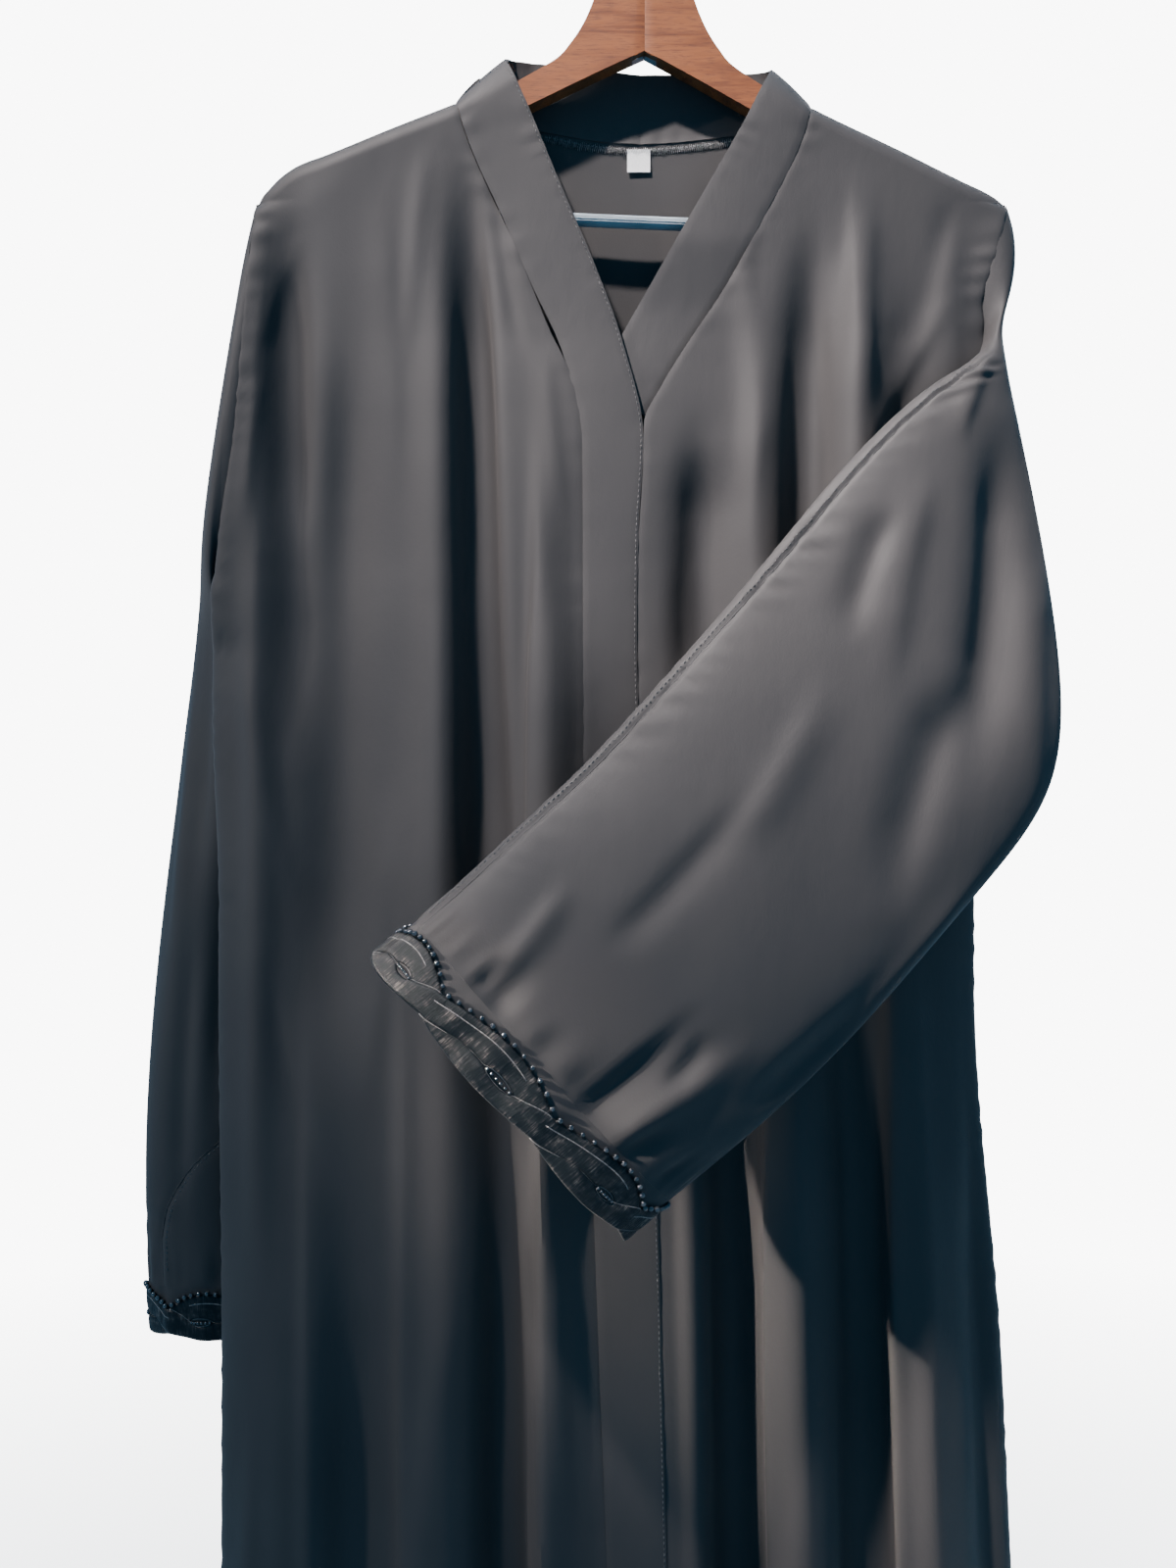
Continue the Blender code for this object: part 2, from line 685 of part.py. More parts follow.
def neckband_right():
    rise = Track(BAND_EDGE_RISE_RIGHT)
    grid = stand_rows(band_right_seam, -1, NECK_RIGHT_Z, BAND_RIGHT_TOP)
    for seam_z in band_front_heights(NECK_RIGHT_Z, HEM_Z):
        edge_z = seam_z + rise(seam_z)
        seam = (band_right_seam(seam_z), 0.0, seam_z)
        edge = (band_right_edge(edge_z), 0.0, edge_z)
        grid.append(band_column_points(seam, edge, front_y))
    return cloth_sheet("neckband_right", grid, "crepe", BAND_CLOTH, flip=True)


def behind_crossing(x, z):
    behind = min(1.0, max(0.0, (UNDERLAP_START_Z - z) / UNDERLAP_SETTLE))
    return front_y(x, z) + UNDERLAP_DEPTH * behind


def neckband_left():
    rise = Track(BAND_EDGE_RISE_LEFT)
    left_edge = Track(BAND_LEFT_EDGE)
    grid = stand_rows(front_left_seam, 1, NECK_LEFT_Z, BAND_LEFT_TOP)
    for seam_z in band_front_heights(NECK_LEFT_Z, BAND_LEFT_END_Z) + [BAND_LEFT_END_Z]:
        edge_z = seam_z + rise(seam_z)
        seam = (front_left_seam(seam_z), 0.0, seam_z)
        edge = (left_edge(edge_z), 0.0, edge_z)
        grid.append(band_column_points(seam, edge, behind_crossing))
    return cloth_sheet("neckband_left", grid, "crepe", BAND_CLOTH)


def size_label():
    grid = []
    for i in range(3):
        z = LABEL_TOP + (LABEL_LOW - LABEL_TOP) * i / 2
        xs = [LABEL_LEFT + (LABEL_RIGHT - LABEL_LEFT) * j / 2 for j in range(3)]
        grid.append([(x, back_y(x, z) - CLOTH - SEAM_GAP, z) for x in xs])
    return cloth_sheet("size_label", grid, "white_tab", LABEL_THICKNESS, flip=True)


def hanger_half(name, side):
    """One arm: a flat outline given its thickness, with rounded edges, tapering to a lobe."""
    outline = HANGER_TOP + HANGER_END + HANGER_UNDER
    points = []
    for reach, z in outline:
        x = side * max(reach, HANGER_JOINT_GAP)
        points.append((x * MM, 0.0, (z - TILT * x) * MM))
    mesh = bpy.data.meshes.new(name)
    order = range(len(points)) if side > 0 else reversed(range(len(points)))
    mesh.from_pydata(points, [], [tuple(order)])
    obj = new_object(name, mesh, "wood")
    thick = obj.modifiers.new("thickness", "SOLIDIFY")
    thick.thickness = 2 * HANGER_HALF_THICKNESS * MM
    thick.offset = 0.0
    edge = obj.modifiers.new("edge", "BEVEL")
    edge.width = HANGER_EDGE * MM
    edge.segments = 2
    edge.limit_method = "ANGLE"
    edge.angle_limit = math.radians(50)
    edge.use_clamp_overlap = True
    return obj


def trouser_bar():
    """Ribbed bar between the hanger's lobes: fine ridges run its whole length."""
    count = BAR_RIBS * 2
    ring = []
    for i in range(count):
        radius = BAR_RADIUS if i % 2 == 0 else BAR_RADIUS * BAR_GROOVE
        turn = 2 * math.pi * i / count
        ring.append((radius * math.cos(turn), radius * math.sin(turn)))
    shape = bmesh.new()
    ends = []
    for x in (-BAR_HALF_LENGTH, BAR_HALF_LENGTH):
        ends.append([shape.verts.new((x * MM, y * MM, (BAR_Z + z - TILT * x) * MM))
                     for y, z in ring])
    for i in range(count):
        k = (i + 1) % count
        shape.faces.new((ends[0][i], ends[0][k], ends[1][k], ends[1][i]))
    shape.faces.new(list(reversed(ends[0])))
    shape.faces.new(ends[1])
    bmesh.ops.recalc_face_normals(shape, faces=shape.faces)
    mesh = bpy.data.meshes.new("trouser_bar")
    shape.to_mesh(mesh)
    shape.free()
    return new_object("trouser_bar", mesh, "ribbed_bar")


def hook():
    """Wire hook: a short stem that bends out into an open loop."""
    radius = HOOK_INNER_RADIUS + HOOK_WIRE_RADIUS
    start = math.radians(HOOK_START)
    join = (radius * math.cos(start), HOOK_CENTRE_Z + radius * math.sin(start))
    lead = (join[0] + HOOK_BEND_PULL * math.sin(start), join[1] - HOOK_BEND_PULL * math.cos(start))
    foot = (0.0, HOOK_STEM_TOP_Z)
    rise = (0.0, HOOK_STEM_TOP_Z + HOOK_BEND_PULL * 0.7)
    points = [(0.0, HOOK_STEM_LOW_Z)]
    for i in range(HOOK_BEND_STEPS):
        t = i / HOOK_BEND_STEPS
        weights = ((1 - t) ** 3, 3 * t * (1 - t) ** 2, 3 * t * t * (1 - t), t ** 3)
        points.append(tuple(sum(w * p[k] for w, p in zip(weights, (foot, rise, lead, join)))
                            for k in range(2)))
    for i in range(HOOK_STEPS + 1):
        turn = math.radians(HOOK_START + (HOOK_END - HOOK_START) * i / HOOK_STEPS)
        points.append((radius * math.cos(turn), HOOK_CENTRE_Z + radius * math.sin(turn)))
    curve = bpy.data.curves.new("hook", "CURVE")
    curve.dimensions = "3D"
    curve.bevel_depth = HOOK_WIRE_RADIUS * MM
    curve.bevel_resolution = 2
    curve.use_fill_caps = True
    spline = curve.splines.new("POLY")
    spline.points.add(len(points) - 1)
    for target, (x, z) in zip(spline.points, points):
        target.co = (x * MM, 0.0, z * MM, 1.0)
    return new_object("hook", curve, "steel")


def main():
    hook()
    hanger_half("hanger_right", -1)
    hanger_half("hanger_left", 1)
    trouser_bar()
    neckband_right()
    neckband_left()
    size_label()
    front_panel("front_right", LEFT_END_X, LEFT_END_Z, band_right_seam, NECK_RIGHT_Z, -1)
    front_panel("front_left", RIGHT_END_X, RIGHT_END_Z, front_left_seam, NECK_LEFT_Z, 1)
    back_panel()
    right_track = sleeve_track(SLEEVE_RIGHT_RINGS, LEFT_END_Z)
    right_last = len(SLEEVE_RIGHT_RINGS) - 1
    sleeve("sleeve_right", right_track, right_last, -SEAM_GAP, False)
    cuff("cuff_right", right_track, right_last, False)
    left_track = sleeve_track(SLEEVE_LEFT_RINGS, RIGHT_END_Z)
    left_last = len(SLEEVE_LEFT_RINGS) - 1
    sleeve("sleeve_left", left_track, left_last, SEAM_GAP, True)
    cuff("cuff_left", left_track, left_last, True)


for existing in list(bpy.data.objects):
    bpy.data.objects.remove(existing, do_unlink=True)
collection = bpy.data.collections.new(COLLECTION_NAME)
bpy.context.scene.collection.children.link(collection)
main()
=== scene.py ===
import math
from collections import namedtuple
from itertools import combinations

import bpy
import numpy as np
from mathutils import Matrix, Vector


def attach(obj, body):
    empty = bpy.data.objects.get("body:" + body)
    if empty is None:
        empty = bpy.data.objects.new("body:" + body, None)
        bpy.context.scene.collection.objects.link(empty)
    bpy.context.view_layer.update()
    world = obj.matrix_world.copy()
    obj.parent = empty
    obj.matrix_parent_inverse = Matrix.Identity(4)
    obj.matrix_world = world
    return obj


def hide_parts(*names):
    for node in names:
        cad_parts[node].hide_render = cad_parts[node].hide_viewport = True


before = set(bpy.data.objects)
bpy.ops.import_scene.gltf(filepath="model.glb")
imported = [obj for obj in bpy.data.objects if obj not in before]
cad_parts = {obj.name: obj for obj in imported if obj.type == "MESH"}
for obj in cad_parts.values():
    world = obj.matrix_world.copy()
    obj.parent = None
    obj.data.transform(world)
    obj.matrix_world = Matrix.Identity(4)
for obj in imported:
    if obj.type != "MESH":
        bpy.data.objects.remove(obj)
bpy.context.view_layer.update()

# Sizes are in millimetres and are scaled when meshes are made. Side -1 is the wearer's right, the
# viewer's left, with the hanging sleeve. Side 1 has the raised sleeve.
MM = 0.001
GARMENT_LENGTH = 1372.0
NECK_POINT_Z = -153.0
HEM_Z = NECK_POINT_Z - GARMENT_LENGTH
HEM_DEPTH = 22.0                 # turned hem
HEM_LINE_IN = 2.0                # its stitch line lies this far inside it
CLOTH, BAND_CLOTH = 1.2, 1.8     # thickness of the walls
SEAM_GAP, SIDE_SEAM_GAP = 0.04, 0.03
TILT = 0.042                     # how far the hanger falls per millimetre toward +X
CREST_RADIUS = 12.0              # rounding of the cloth over the hanger's top edge
FRONT, BACK = np.array((0.0, -1.0, 0.0)), np.array((0.0, 1.0, 0.0))
SIDES = ((-1, "right"), (1, "left"))

# Shoulder line of the cloth, before the tilt: distance from the middle, height
SHOULDER_ROWS = (
    (0, -110), (60, -134), (90, -148), (106, -155.8), (150, -175), (190, -193), (208, -200.5),
    (221, -210), (228, -218), (233, -225),
)
# The body by height: left and right edge, half depth of front and back, fullness of the oval
BODY_ROWS = (
    (-150, -233, 217.6, 12.5, 12.5, 12), (-215, -233, 217.6, 13.5, 13.5, 12),
    (-294, -239, 193.9, 17, 17, 7), (-306, -240, 198.6, 18, 17.7, 6.2),
    (-330, -242, 199, 20, 19, 5), (-433, -250, 199, 26, 24, 3.2),
    (-446, -253.4, 199, 27, 24.8, 3.1), (-551, -255, 198, 33, 30, 2.8),
    (-681, -256, 198, 39, 36, 2.6), (-903, -254, 214, 47, 44, 2.6),
    (-1036, -254, 220, 52, 48, 2.6), (-1600, -264, 250, 68, 62, 2.6),
)
BACK_TUCK = 0.55                 # how far the back lies in where the hanging sleeve rests on it
BACK_TUCK_REACH = 70.0
TUCK_SETTLE = 40.0               # drop over which the back's tuck grows below the armhole

# Edges of the neckband and placket: height, x
BAND_RIGHT_SEAM = (
    (-153.4, -112.7), (-169, -109), (-245, -76.2), (-294, -56.4), (-319, -45), (-353, -37.6),
    (-398, -37.1), (-539, -37.1), (-827, -30.1), (-1008, -23.4), (-1600, -5),
)
BAND_RIGHT_EDGE = (
    (-145.8, -74.7), (-163.5, -67.7), (-222, -43.8), (-281, -19.7), (-297, -15.1), (-322, -6),
    (-350, -1.2), (-368, -1.5), (-445, -5.6), (-522, -4.6), (-827, 6.8), (-1008, 11), (-1600, 29),
)
FRONT_LEFT_SEAM = (
    (-157, 99.2), (-173, 95.5), (-233, 66.8), (-270, 46.2), (-302, 25.1), (-330, 8.3),
    (-350, -1.1), (-368, -1.4), (-445, -5.5), (-522, -4.5), (-827, 6.9), (-1008, 11.1),
    (-1600, 29.1),
)
BAND_LEFT_EDGE = (
    (-148.7, 69), (-167, 59.5), (-230, 23.6), (-295, -13.5), (-320, -27.2), (-336, -34),
)
# Seam of the neckband round the back of the neck: x, height
BACK_NECK_ROWS = (
    (-112.7, -153.4), (-108, -158.5), (-98, -162), (-80, -163.5), (-61, -164.6), (-34, -169.8),
    (-3, -172.2), (27, -170.4), (55, -167.2), (75, -166), (87, -164.5), (95, -161.5), (99.2, -157),
)
# Top edge of the stand band: share of the way from its front to the centre back, x, y, z
BAND_RIGHT_TOP = (
    (0, -71.5, -14, -154.5), (0.12, -79, -9, -137), (0.24, -83, 0, -126), (0.4, -79, 10.5, -121.5),
    (0.6, -56, 14.5, -122.5), (1, -2.6, 15.5, -128),
)
BAND_LEFT_TOP = (
    (0, 64, -14, -158), (0.12, 72, -9, -142), (0.24, 76, 0, -132.5), (0.4, 73, 10.5, -128.5),
    (0.6, 52, 14.5, -128), (1, -2, 15.5, -128),
)
# How much higher the band's edge lies than its seam: height of the seam, rise
BAND_RIGHT_RISE = ((-398.0, 0.0), (-353.0, 4.0), (-294.0, 11.0), (-169.0, 14.5))
BAND_LEFT_RISE = ((-345.0, 17.0), (-233.0, 20.0), (-173.0, 15.0))
CENTRE_BACK_X = -2.3
NECK_RIGHT_Z, NECK_LEFT_Z = -153.4, -157.0
BAND_LEFT_END_Z = -345.0
UNDERLAP_DEPTH = 2.8             # the crossing band lies this far behind the upper one
UNDERLAP_START_Z = -240.0        # it starts to sink here
UNDERLAP_SETTLE = 40.0           # and is fully behind after this drop
SHOULDER_SHARE = 0.24            # place of the shoulder seam along the stand band
BAND_WIDTH = 38.0
BAND_PAD, BAND_CROWN = 1.5, 0.9  # height of the band's face over its grid, and more of it mid-way
CROSSING_PAD = 0.4               # what is left of the pad where the band lies behind the other
CENTRE_BACK_GAP = 0.01           # from the band's end to the centre back
NECK_TUCK = 1.6                  # the back runs up behind the neckband

# Rings of each sleeve below its armhole: outer or overarm edge, underarm edge, half thickness
SLEEVE_RINGS = {
    -1: (
        (-243, 4, -252, -254, 4, -436, 22), (-254, 13, -310, -257.5, 12, -441, 29),
        (-265, 23, -372, -257, 25, -450, 36), (-277, 37, -440, -252, 45, -465, 42),
        (-286, 50, -500, -245, 63, -500, 47), (-293, 50, -560, -232, 76, -560, 50),
        (-300, 44, -630, -215, 84, -640, 46), (-307, 38, -712, -198, 94, -720, 44),
        (-310, 32, -795, -181, 102, -802, 44), (-307, 29, -872, -170, 104, -872, 44),
    ),
    1: (
        (223, -1, -236, 198, -2, -296, 15), (222, -4, -258, 200, -5, -298.5, 15),
        (215, -9, -279, 200.5, -9, -302, 14), (211, -15, -297, 199, -15, -307, 12.5),
        (211.5, -22, -315, 192, -25, -315, 12), (214, -26, -333, 171, -36, -327, 12),
        (218, -29, -354, 140, -46, -353, 14), (231, -38, -432, 106, -58, -389, 16),
        (238, -50, -507, 71, -70, -432, 18), (232, -62, -564, 40, -79, -469, 20),
        (190, -78, -613, 5, -88, -508, 21), (148, -92, -658, -34, -98, -552, 22),
        (106, -104, -702, -66, -106, -581, 22), (54, -114, -748, -98, -116, -612, 23),
        (9, -121, -782, -124, -123, -635, 24),
    ),
}

# Lengthwise folds: from and to heights, places, half widths and heights of the wave, and its lean
FRONT_FOLDS = (
    (-215, -430, -212, -214, 12, 14, -4, -5, 0), (-290, -760, -180, -190, 18, 42, -8, -11, 0),
    (-200, -1600, -117, -108, 15, 26, 7, 15, 0.25), (-180, -700, -106, -80, 9, 15, -8, -9, -0.35),
    (-430, -760, -57, -58, 14, 16, 8, 9, 0.45), (-700, -1600, -84, -76, 16, 20, -12, -20, -0.45),
    (-760, -1600, -168, -170, 20, 24, -10, -19, 0), (-760, -1600, -212, -214, 20, 24, 8, 15, 0),
    (-360, -520, 36, 36, 20, 20, -6, -6, 0), (-230, -620, 92, 90, 15, 18, -8, -9, 0.2),
    (-240, -620, 118, 116, 13, 16, 6, 7, 0), (-270, -620, 152, 150, 18, 20, -8, -9, 0.3),
    (-600, -1600, 48, 66, 18, 22, -10, -20, 0), (-600, -1600, 82, 104, 16, 22, 8, 18, 0.45),
    (-600, -1600, 122, 146, 18, 22, -10, -20, 0), (-600, -1600, 158, 186, 18, 22, 9, 18, 0.45),
)
BACK_FOLDS = (
    (-240, -1600, -150, -166, 18, 28, -6, -18, 0), (-260, -1600, -104, -118, 18, 24, 6, 18, 0),
    (-330, -1600, -62, -70, 18, 24, -6, -20, 0), (-230, -1600, -22, -22, 18, 24, 6, 17, 0),
    (-300, -1600, 20, 28, 18, 24, -6, -19, 0), (-260, -1600, 62, 78, 18, 24, 7, 18, 0),
    (-310, -1600, 104, 128, 18, 24, -7, -19, 0), (-250, -1600, 146, 180, 18, 26, 6, 16, 0),
)
# Sharper folds over the fronts' long ones
FRONT_DRAPE = (
    (-196, -560, -214, -206, 12, 15, -8, -9, 0), (-165, -820, -104, -86, 11, 13, -9, -12, -0.25),
    (-180, -760, -122, -120, 12, 14, 5, 6, -0.3), (-330, -860, -63, -62, 9, 10, 8, 9, 0.5),
    (-560, -1600, -62, -56, 10, 12, 9, 11, 0.6), (-600, -1600, -84, -78, 12, 14, -9, -12, 0),
    (-300, -900, -231, -226, 9, 10, 4, 5, 0), (-250, -760, -176, -180, 12, 24, -5, -7, 0),
    (-460, -1600, -140, -134, 12, 14, 5, 8, 0.4), (-640, -1600, -196, -194, 10, 13, 5, 7, 0.4),
    (-190, -600, 126, 118, 9, 11, 6, 8, 0.35), (-205, -600, 100, 96, 11, 12, -8, -9, 0),
    (-205, -600, 158, 154, 13, 16, -3, -7, 0), (-240, -640, 66, 66, 10, 12, 5, 6, 0.2),
    (-330, -680, 32, 34, 13, 14, -9, -9, 0), (-600, -1600, 17, 42, 8, 9, 4, 5, 0.4),
    (-520, -1600, 44, 58, 12, 14, -9, -12, 0), (-520, -1600, 68, 86, 10, 12, 10, 12, 0.55),
    (-520, -1600, 114, 132, 12, 14, -9, -12, 0), (-520, -1600, 138, 162, 11, 13, 10, 12, 0.55),
    (-620, -1600, 194, 222, 9, 11, -5, -7, 0),
)
FOLD_FADE = 0.28                 # share of a fold's length over which it rises
UNEVEN = 0.7                     # height of the slight swell of hanging cloth

# Creases by x and z: from and to points, widths to either side, height out, sideways bow
FRONT_CREASES = (
    (-205, -232, -236, -330, 6, 9, 1.6, 4), (-226, -300, -238, -430, 5, 8, 1.8, 3),
    (-160, -205, -150, -420, 8, 12, 1.6, -5), (-130, -178, -140, -330, 7, 6, 1.4, 3),
    (-92, -190, -70, -320, 4, 6, -1.8, 2), (-60, -300, -46, -420, 5, 7, 1.5, 2),
    (-235, -470, -205, -640, 7, 9, 1.8, 6), (-150, -560, -165, -760, 7, 9, 1.6, -5),
    (-225, -660, -180, -800, 6, 10, -2, 8), (-110, -840, -128, -1090, 7, 8, 2, 4),
    (-50, -820, -44, -1000, 5, 7, 1.6, 2), (-146, -900, -150, -1250, 7, 9, -2.2, -4),
    (-228, -900, -236, -1300, 7, 9, 2.2, 3), (60, -196, 62, -330, 6, 8, 1.6, 2),
    (132, -205, 122, -360, 6, 9, 1.8, -3), (186, -205, 160, -320, 7, 8, -1.2, 3),
    (182, -222, 186, -350, 9, 12, 2.2, 2), (186, -268, 120, -400, 6, 10, 1.8, 6),
    (70, -330, 56, -470, 6, 9, 1.4, 3), (22, -420, 30, -560, 5, 8, -1.4, 3),
    (30, -760, 36, -1000, 6, 8, 1.8, 2), (112, -720, 124, -1000, 6, 8, 2, 3),
    (190, -760, 206, -1100, 7, 9, -2.2, 3), (92, -1050, 104, -1380, 7, 9, 2.2, -3),
    (-190, -1100, -196, -1440, 8, 9, 2.4, 3),
)
BACK_CREASES = (
    (-190, -230, -216, -340, 6, 9, 1.8, 4), (-120, -200, -140, -400, 7, 9, 1.6, -4),
    (-50, -190, -64, -330, 7, 9, -1.5, 3), (40, -190, 52, -360, 7, 9, 1.6, 3),
    (120, -205, 140, -350, 6, 9, 1.8, -3), (170, -230, 150, -380, 6, 9, -2, 4),
    (-200, -480, -186, -700, 8, 9, 2, 5), (-84, -560, -96, -860, 7, 9, 2, 4),
    (0, -420, 6, -700, 7, 9, -1.8, 3), (88, -640, 96, -960, 7, 9, 2, -4),
    (170, -500, 190, -820, 8, 9, 2, 4), (-140, -960, -150, -1360, 8, 9, -2.4, 4),
    (-30, -900, -34, -1300, 8, 9, 2.2, -3), (50, -1060, 58, -1440, 8, 9, 2.2, 3),
    (150, -1000, 164, -1400, 8, 9, -2.4, 3),
)
RAISED_FRONT_CREASES = (
    (204, -344, 170, -580, 14, 15, -10, -8), (176, -500, 128, -640, 12, 17, -6, 6),
    (138, -405, 108, -490, 7, 11, -3.6, 3), (160, -380, 128, -520, 8, 12, 2.6, 3),
    (226, -420, 214, -590, 9, 12, 3, 4), (-112, -706, -60, -652, 5, 9, -4.4, 1),
    (-116, -688, -70, -650, 4, 6, -3.4, -1), (-98, -716, -50, -676, 5, 7, 2.6, 1),
    (-82, -760, 30, -676, 5, 11, -4.2, 4), (-64, -764, 60, -694, 8, 10, 3.6, 5),
    (-36, -790, 30, -752, 4, 8, -3.4, 1), (-34, -764, 14, -736, 4, 6, -3.8, 1),
    (-2, -800, 40, -770, 4, 6, -3, 1), (40, -742, 150, -640, 9, 13, -4, 6),
    (-30, -655, 60, -560, 7, 10, -2.6, 3), (40, -600, 100, -500, 8, 12, 2.4, 4),
    (90, -700, 190, -600, 10, 12, 3, 8), (6, -722, 30, -690, 5, 7, -2.6, 2),
    (-86, -668, -40, -610, 6, 7, 2.4, 2), (206, -300, 176, -372, 5, 8, 2.6, 3),
)
RAISED_BACK_CREASES = (
    (190, -330, 150, -560, 12, 16, -5, -8), (120, -430, 60, -560, 9, 12, -4, 5),
    (-60, -720, 60, -620, 8, 12, -4, 6), (-20, -660, 110, -560, 8, 12, 3.4, 6),
    (60, -730, 170, -620, 9, 12, 3, 6),
)
HANGING_FRONT_CREASES = (
    (-262, -420, -276, -640, 7, 9, -3.5, 3), (-288, -480, -292, -700, 7, 8, 3, -3),
    (-246, -560, -262, -800, 8, 10, -4, 4), (-278, -640, -284, -860, 7, 9, -3.4, 3),
    (-226, -650, -232, -850, 8, 10, 3.4, 3), (-205, -700, -206, -862, 8, 8, -3.4, 2),
)
HANGING_BACK_CREASES = (
    (-250, -300, -268, -520, 7, 9, -3, 3), (-262, -470, -276, -760, 8, 10, -4.5, 4),
    (-236, -520, -240, -800, 8, 10, 3.6, -4), (-288, -560, -292, -850, 7, 9, 3.6, 3),
    (-206, -640, -204, -860, 8, 10, -3.8, 3),
)
CREASE_START, CREASE_END = 0.30, 0.40    # shares of a crease's length over which it rises and fades

# Grid sizes: the solids' rows and columns, each cut finer
PANEL_ROWS = 27
FRONT_COLUMNS = 19
SHOULDER_COLUMNS = 10
CREST_SHARES = (0.0, 0.0009, 0.0034, 0.0092, 0.018, 0.030)
ROW_GROWTH = 1.25
EDGE_DRAW = 0.55
STAND_BACK_SHARES = (1.0, 0.85, 0.70, 0.56, 0.44, 0.35, 0.29, 0.26, 0.24)
STAND_FRONT_SHARES = (0.19, 0.13, 0.06)
ROW_CUTS, COLUMN_CUTS, BAND_ROW_CUTS = 9, 6, 8
BAND_AROUND = 15
SLEEVE_AROUND, SLEEVE_DOWN = 168, 190
SLEEVE_EASE = 80                 # rounds of easing of the small steps between close rings

# The sleeves' seams, and the sewing
SEAM_OPEN = 30.0                 # length over which a sleeve's head meets the panels' faces
SEAM_STARTS = {-1: -10.0, 1: 60.0}
SEAM_SIGHT = 1.4                 # angle from the seam that its relief reaches
FAR_OFF = 999.0                  # distance given to what lies beyond it
CUFF_ROUND = 430.0               # run round the sleeve's end
SEAM_POINTS, HEM_POINTS, PLACKET_POINTS = 420, 240, 900
PLACKET_START_ROW = 9 * BAND_ROW_CUTS + 6
PLACKET_COLUMN = BAND_AROUND - 1.55
# radius of the near-black seam tube that paints the shade in the sleeve seams' grooves
SEAM_SHADE_THREAD_RADIUS, LOOP_RADIUS = 0.42, 0.25
OVERLOCK_DROP = 2.6              # below the back neck seam
NEEDLE_POINTS, LOOP_POINTS = 260, 330

# ---------------------------------------------------------------- outlines and relief


class Track:
    """Smooth run of values through table rows, keyed by the first column, without overshoot."""

    def __init__(self, rows):
        table = np.array(sorted(tuple(row) for row in rows), dtype=float)
        self.keys, self.values = table[:, 0], table[:, 1:]
        slopes = np.diff(self.values, axis=0) / np.diff(self.keys)[:, None]
        before, after = slopes[:-1], slopes[1:]
        product = before * after
        total = np.where(product > 0, before + after, 1.0)
        inner = np.where(product > 0, 2.0 * product / total, 0.0)
        self.slopes = np.vstack([slopes[:1], inner, slopes[-1:]])

    def __call__(self, key):
        key = np.clip(np.asarray(key, float), self.keys[0], self.keys[-1])
        span = np.clip(np.searchsorted(self.keys, key, side="right") - 1, 0, len(self.keys) - 2)
        width = (self.keys[span + 1] - self.keys[span])[..., None]
        t = (key - self.keys[span])[..., None] / width
        value = ((1 + 2 * t) * (1 - t) ** 2 * self.values[span]
                 + t * t * (3 - 2 * t) * self.values[span + 1]
                 + t * (1 - t) ** 2 * width * self.slopes[span]
                 + t * t * (t - 1) * width * self.slopes[span + 1])
        return value if value.shape[-1] > 1 else value[..., 0]


shoulder, body = Track(SHOULDER_ROWS), Track(BODY_ROWS)
band_right_seam, front_left_seam = Track(BAND_RIGHT_SEAM), Track(FRONT_LEFT_SEAM)
back_neck = Track(BACK_NECK_ROWS)


def shoulder_z(x):
    return shoulder(np.abs(x)) - TILT * np.asarray(x, float)


LEFT_END_X, RIGHT_END_X = BODY_ROWS[0][1:3]
LEFT_END_Z, RIGHT_END_Z = float(shoulder_z(LEFT_END_X)), float(shoulder_z(RIGHT_END_X))
NECK_LEFT_X, NECK_RIGHT_X = BACK_NECK_ROWS[0][0], BACK_NECK_ROWS[-1][0]
OVERLOCK_SPAN = (NECK_LEFT_X + 16, NECK_RIGHT_X - 10)
Armhole = namedtuple("Armhole", "end_x end_z low_x low_z half")
ARMHOLES = {-1: Armhole(LEFT_END_X, LEFT_END_Z, -250, -433.0, 16.0),
            1: Armhole(RIGHT_END_X, RIGHT_END_Z, 193.9, -293.7, 14.0)}
ARMHOLE_FADE = 24.0
FRONT_LAPS = {-1: 46.0, 1: 34.5}    # the front stays over the sleeves' roots this much lower
NO_LAPS = {-1: 0.0, 1: 0.0}
# The panels' edges bow out or in by the sleeves' roots: by how much, from which height, over which
# drop it grows, to which height, over which drop it fades
ROOT_BOW = {-1: (-5.0, -345.0, 85.0, -640.0, 130.0), 1: (7.0, -271.7, 22.0, -345.0, 30.0)}


def smooth(t):
    t = np.clip(t, 0.0, 1.0)
    return t * t * (3 - 2 * t)


def bell(distance, width):
    return np.exp(-(distance / width) ** 2)


def run_along(line):
    """Distance along a line of points, from its first one."""
    steps = np.linalg.norm(np.diff(line, axis=0), axis=1)
    return np.concatenate(((0.0,), np.cumsum(steps)))


def panel_edge_x(z, side):
    """Outer edge of a front or the back: the armhole line first, then the side seam."""
    hole = ARMHOLES[side]
    line = hole.end_x + (hole.low_x - hole.end_x) * (z - hole.end_z) / (hole.low_z - hole.end_z)
    out, high, growth, low, fall = ROOT_BOW[side]
    bow = out * smooth((high - z) / growth) * smooth((z - low) / fall)
    return np.where(z > hole.low_z, line + bow - side * SEAM_GAP, body(z)[..., 0 if side < 0 else 1] + bow)


def side_half(z, side, lap):
    """Half depth of the body at its side edge: open at the armhole, closed at the side seam."""
    hole = ARMHOLES[side]
    middle, reach = (hole.end_z + hole.low_z) / 2, (hole.end_z - hole.low_z) / 2
    across = np.where(z > middle, (z - middle) / reach, (z - middle) / (reach + lap))
    return np.maximum(hole.half * np.sqrt(np.maximum(0.0, 1.0 - across ** 2)), SIDE_SEAM_GAP)


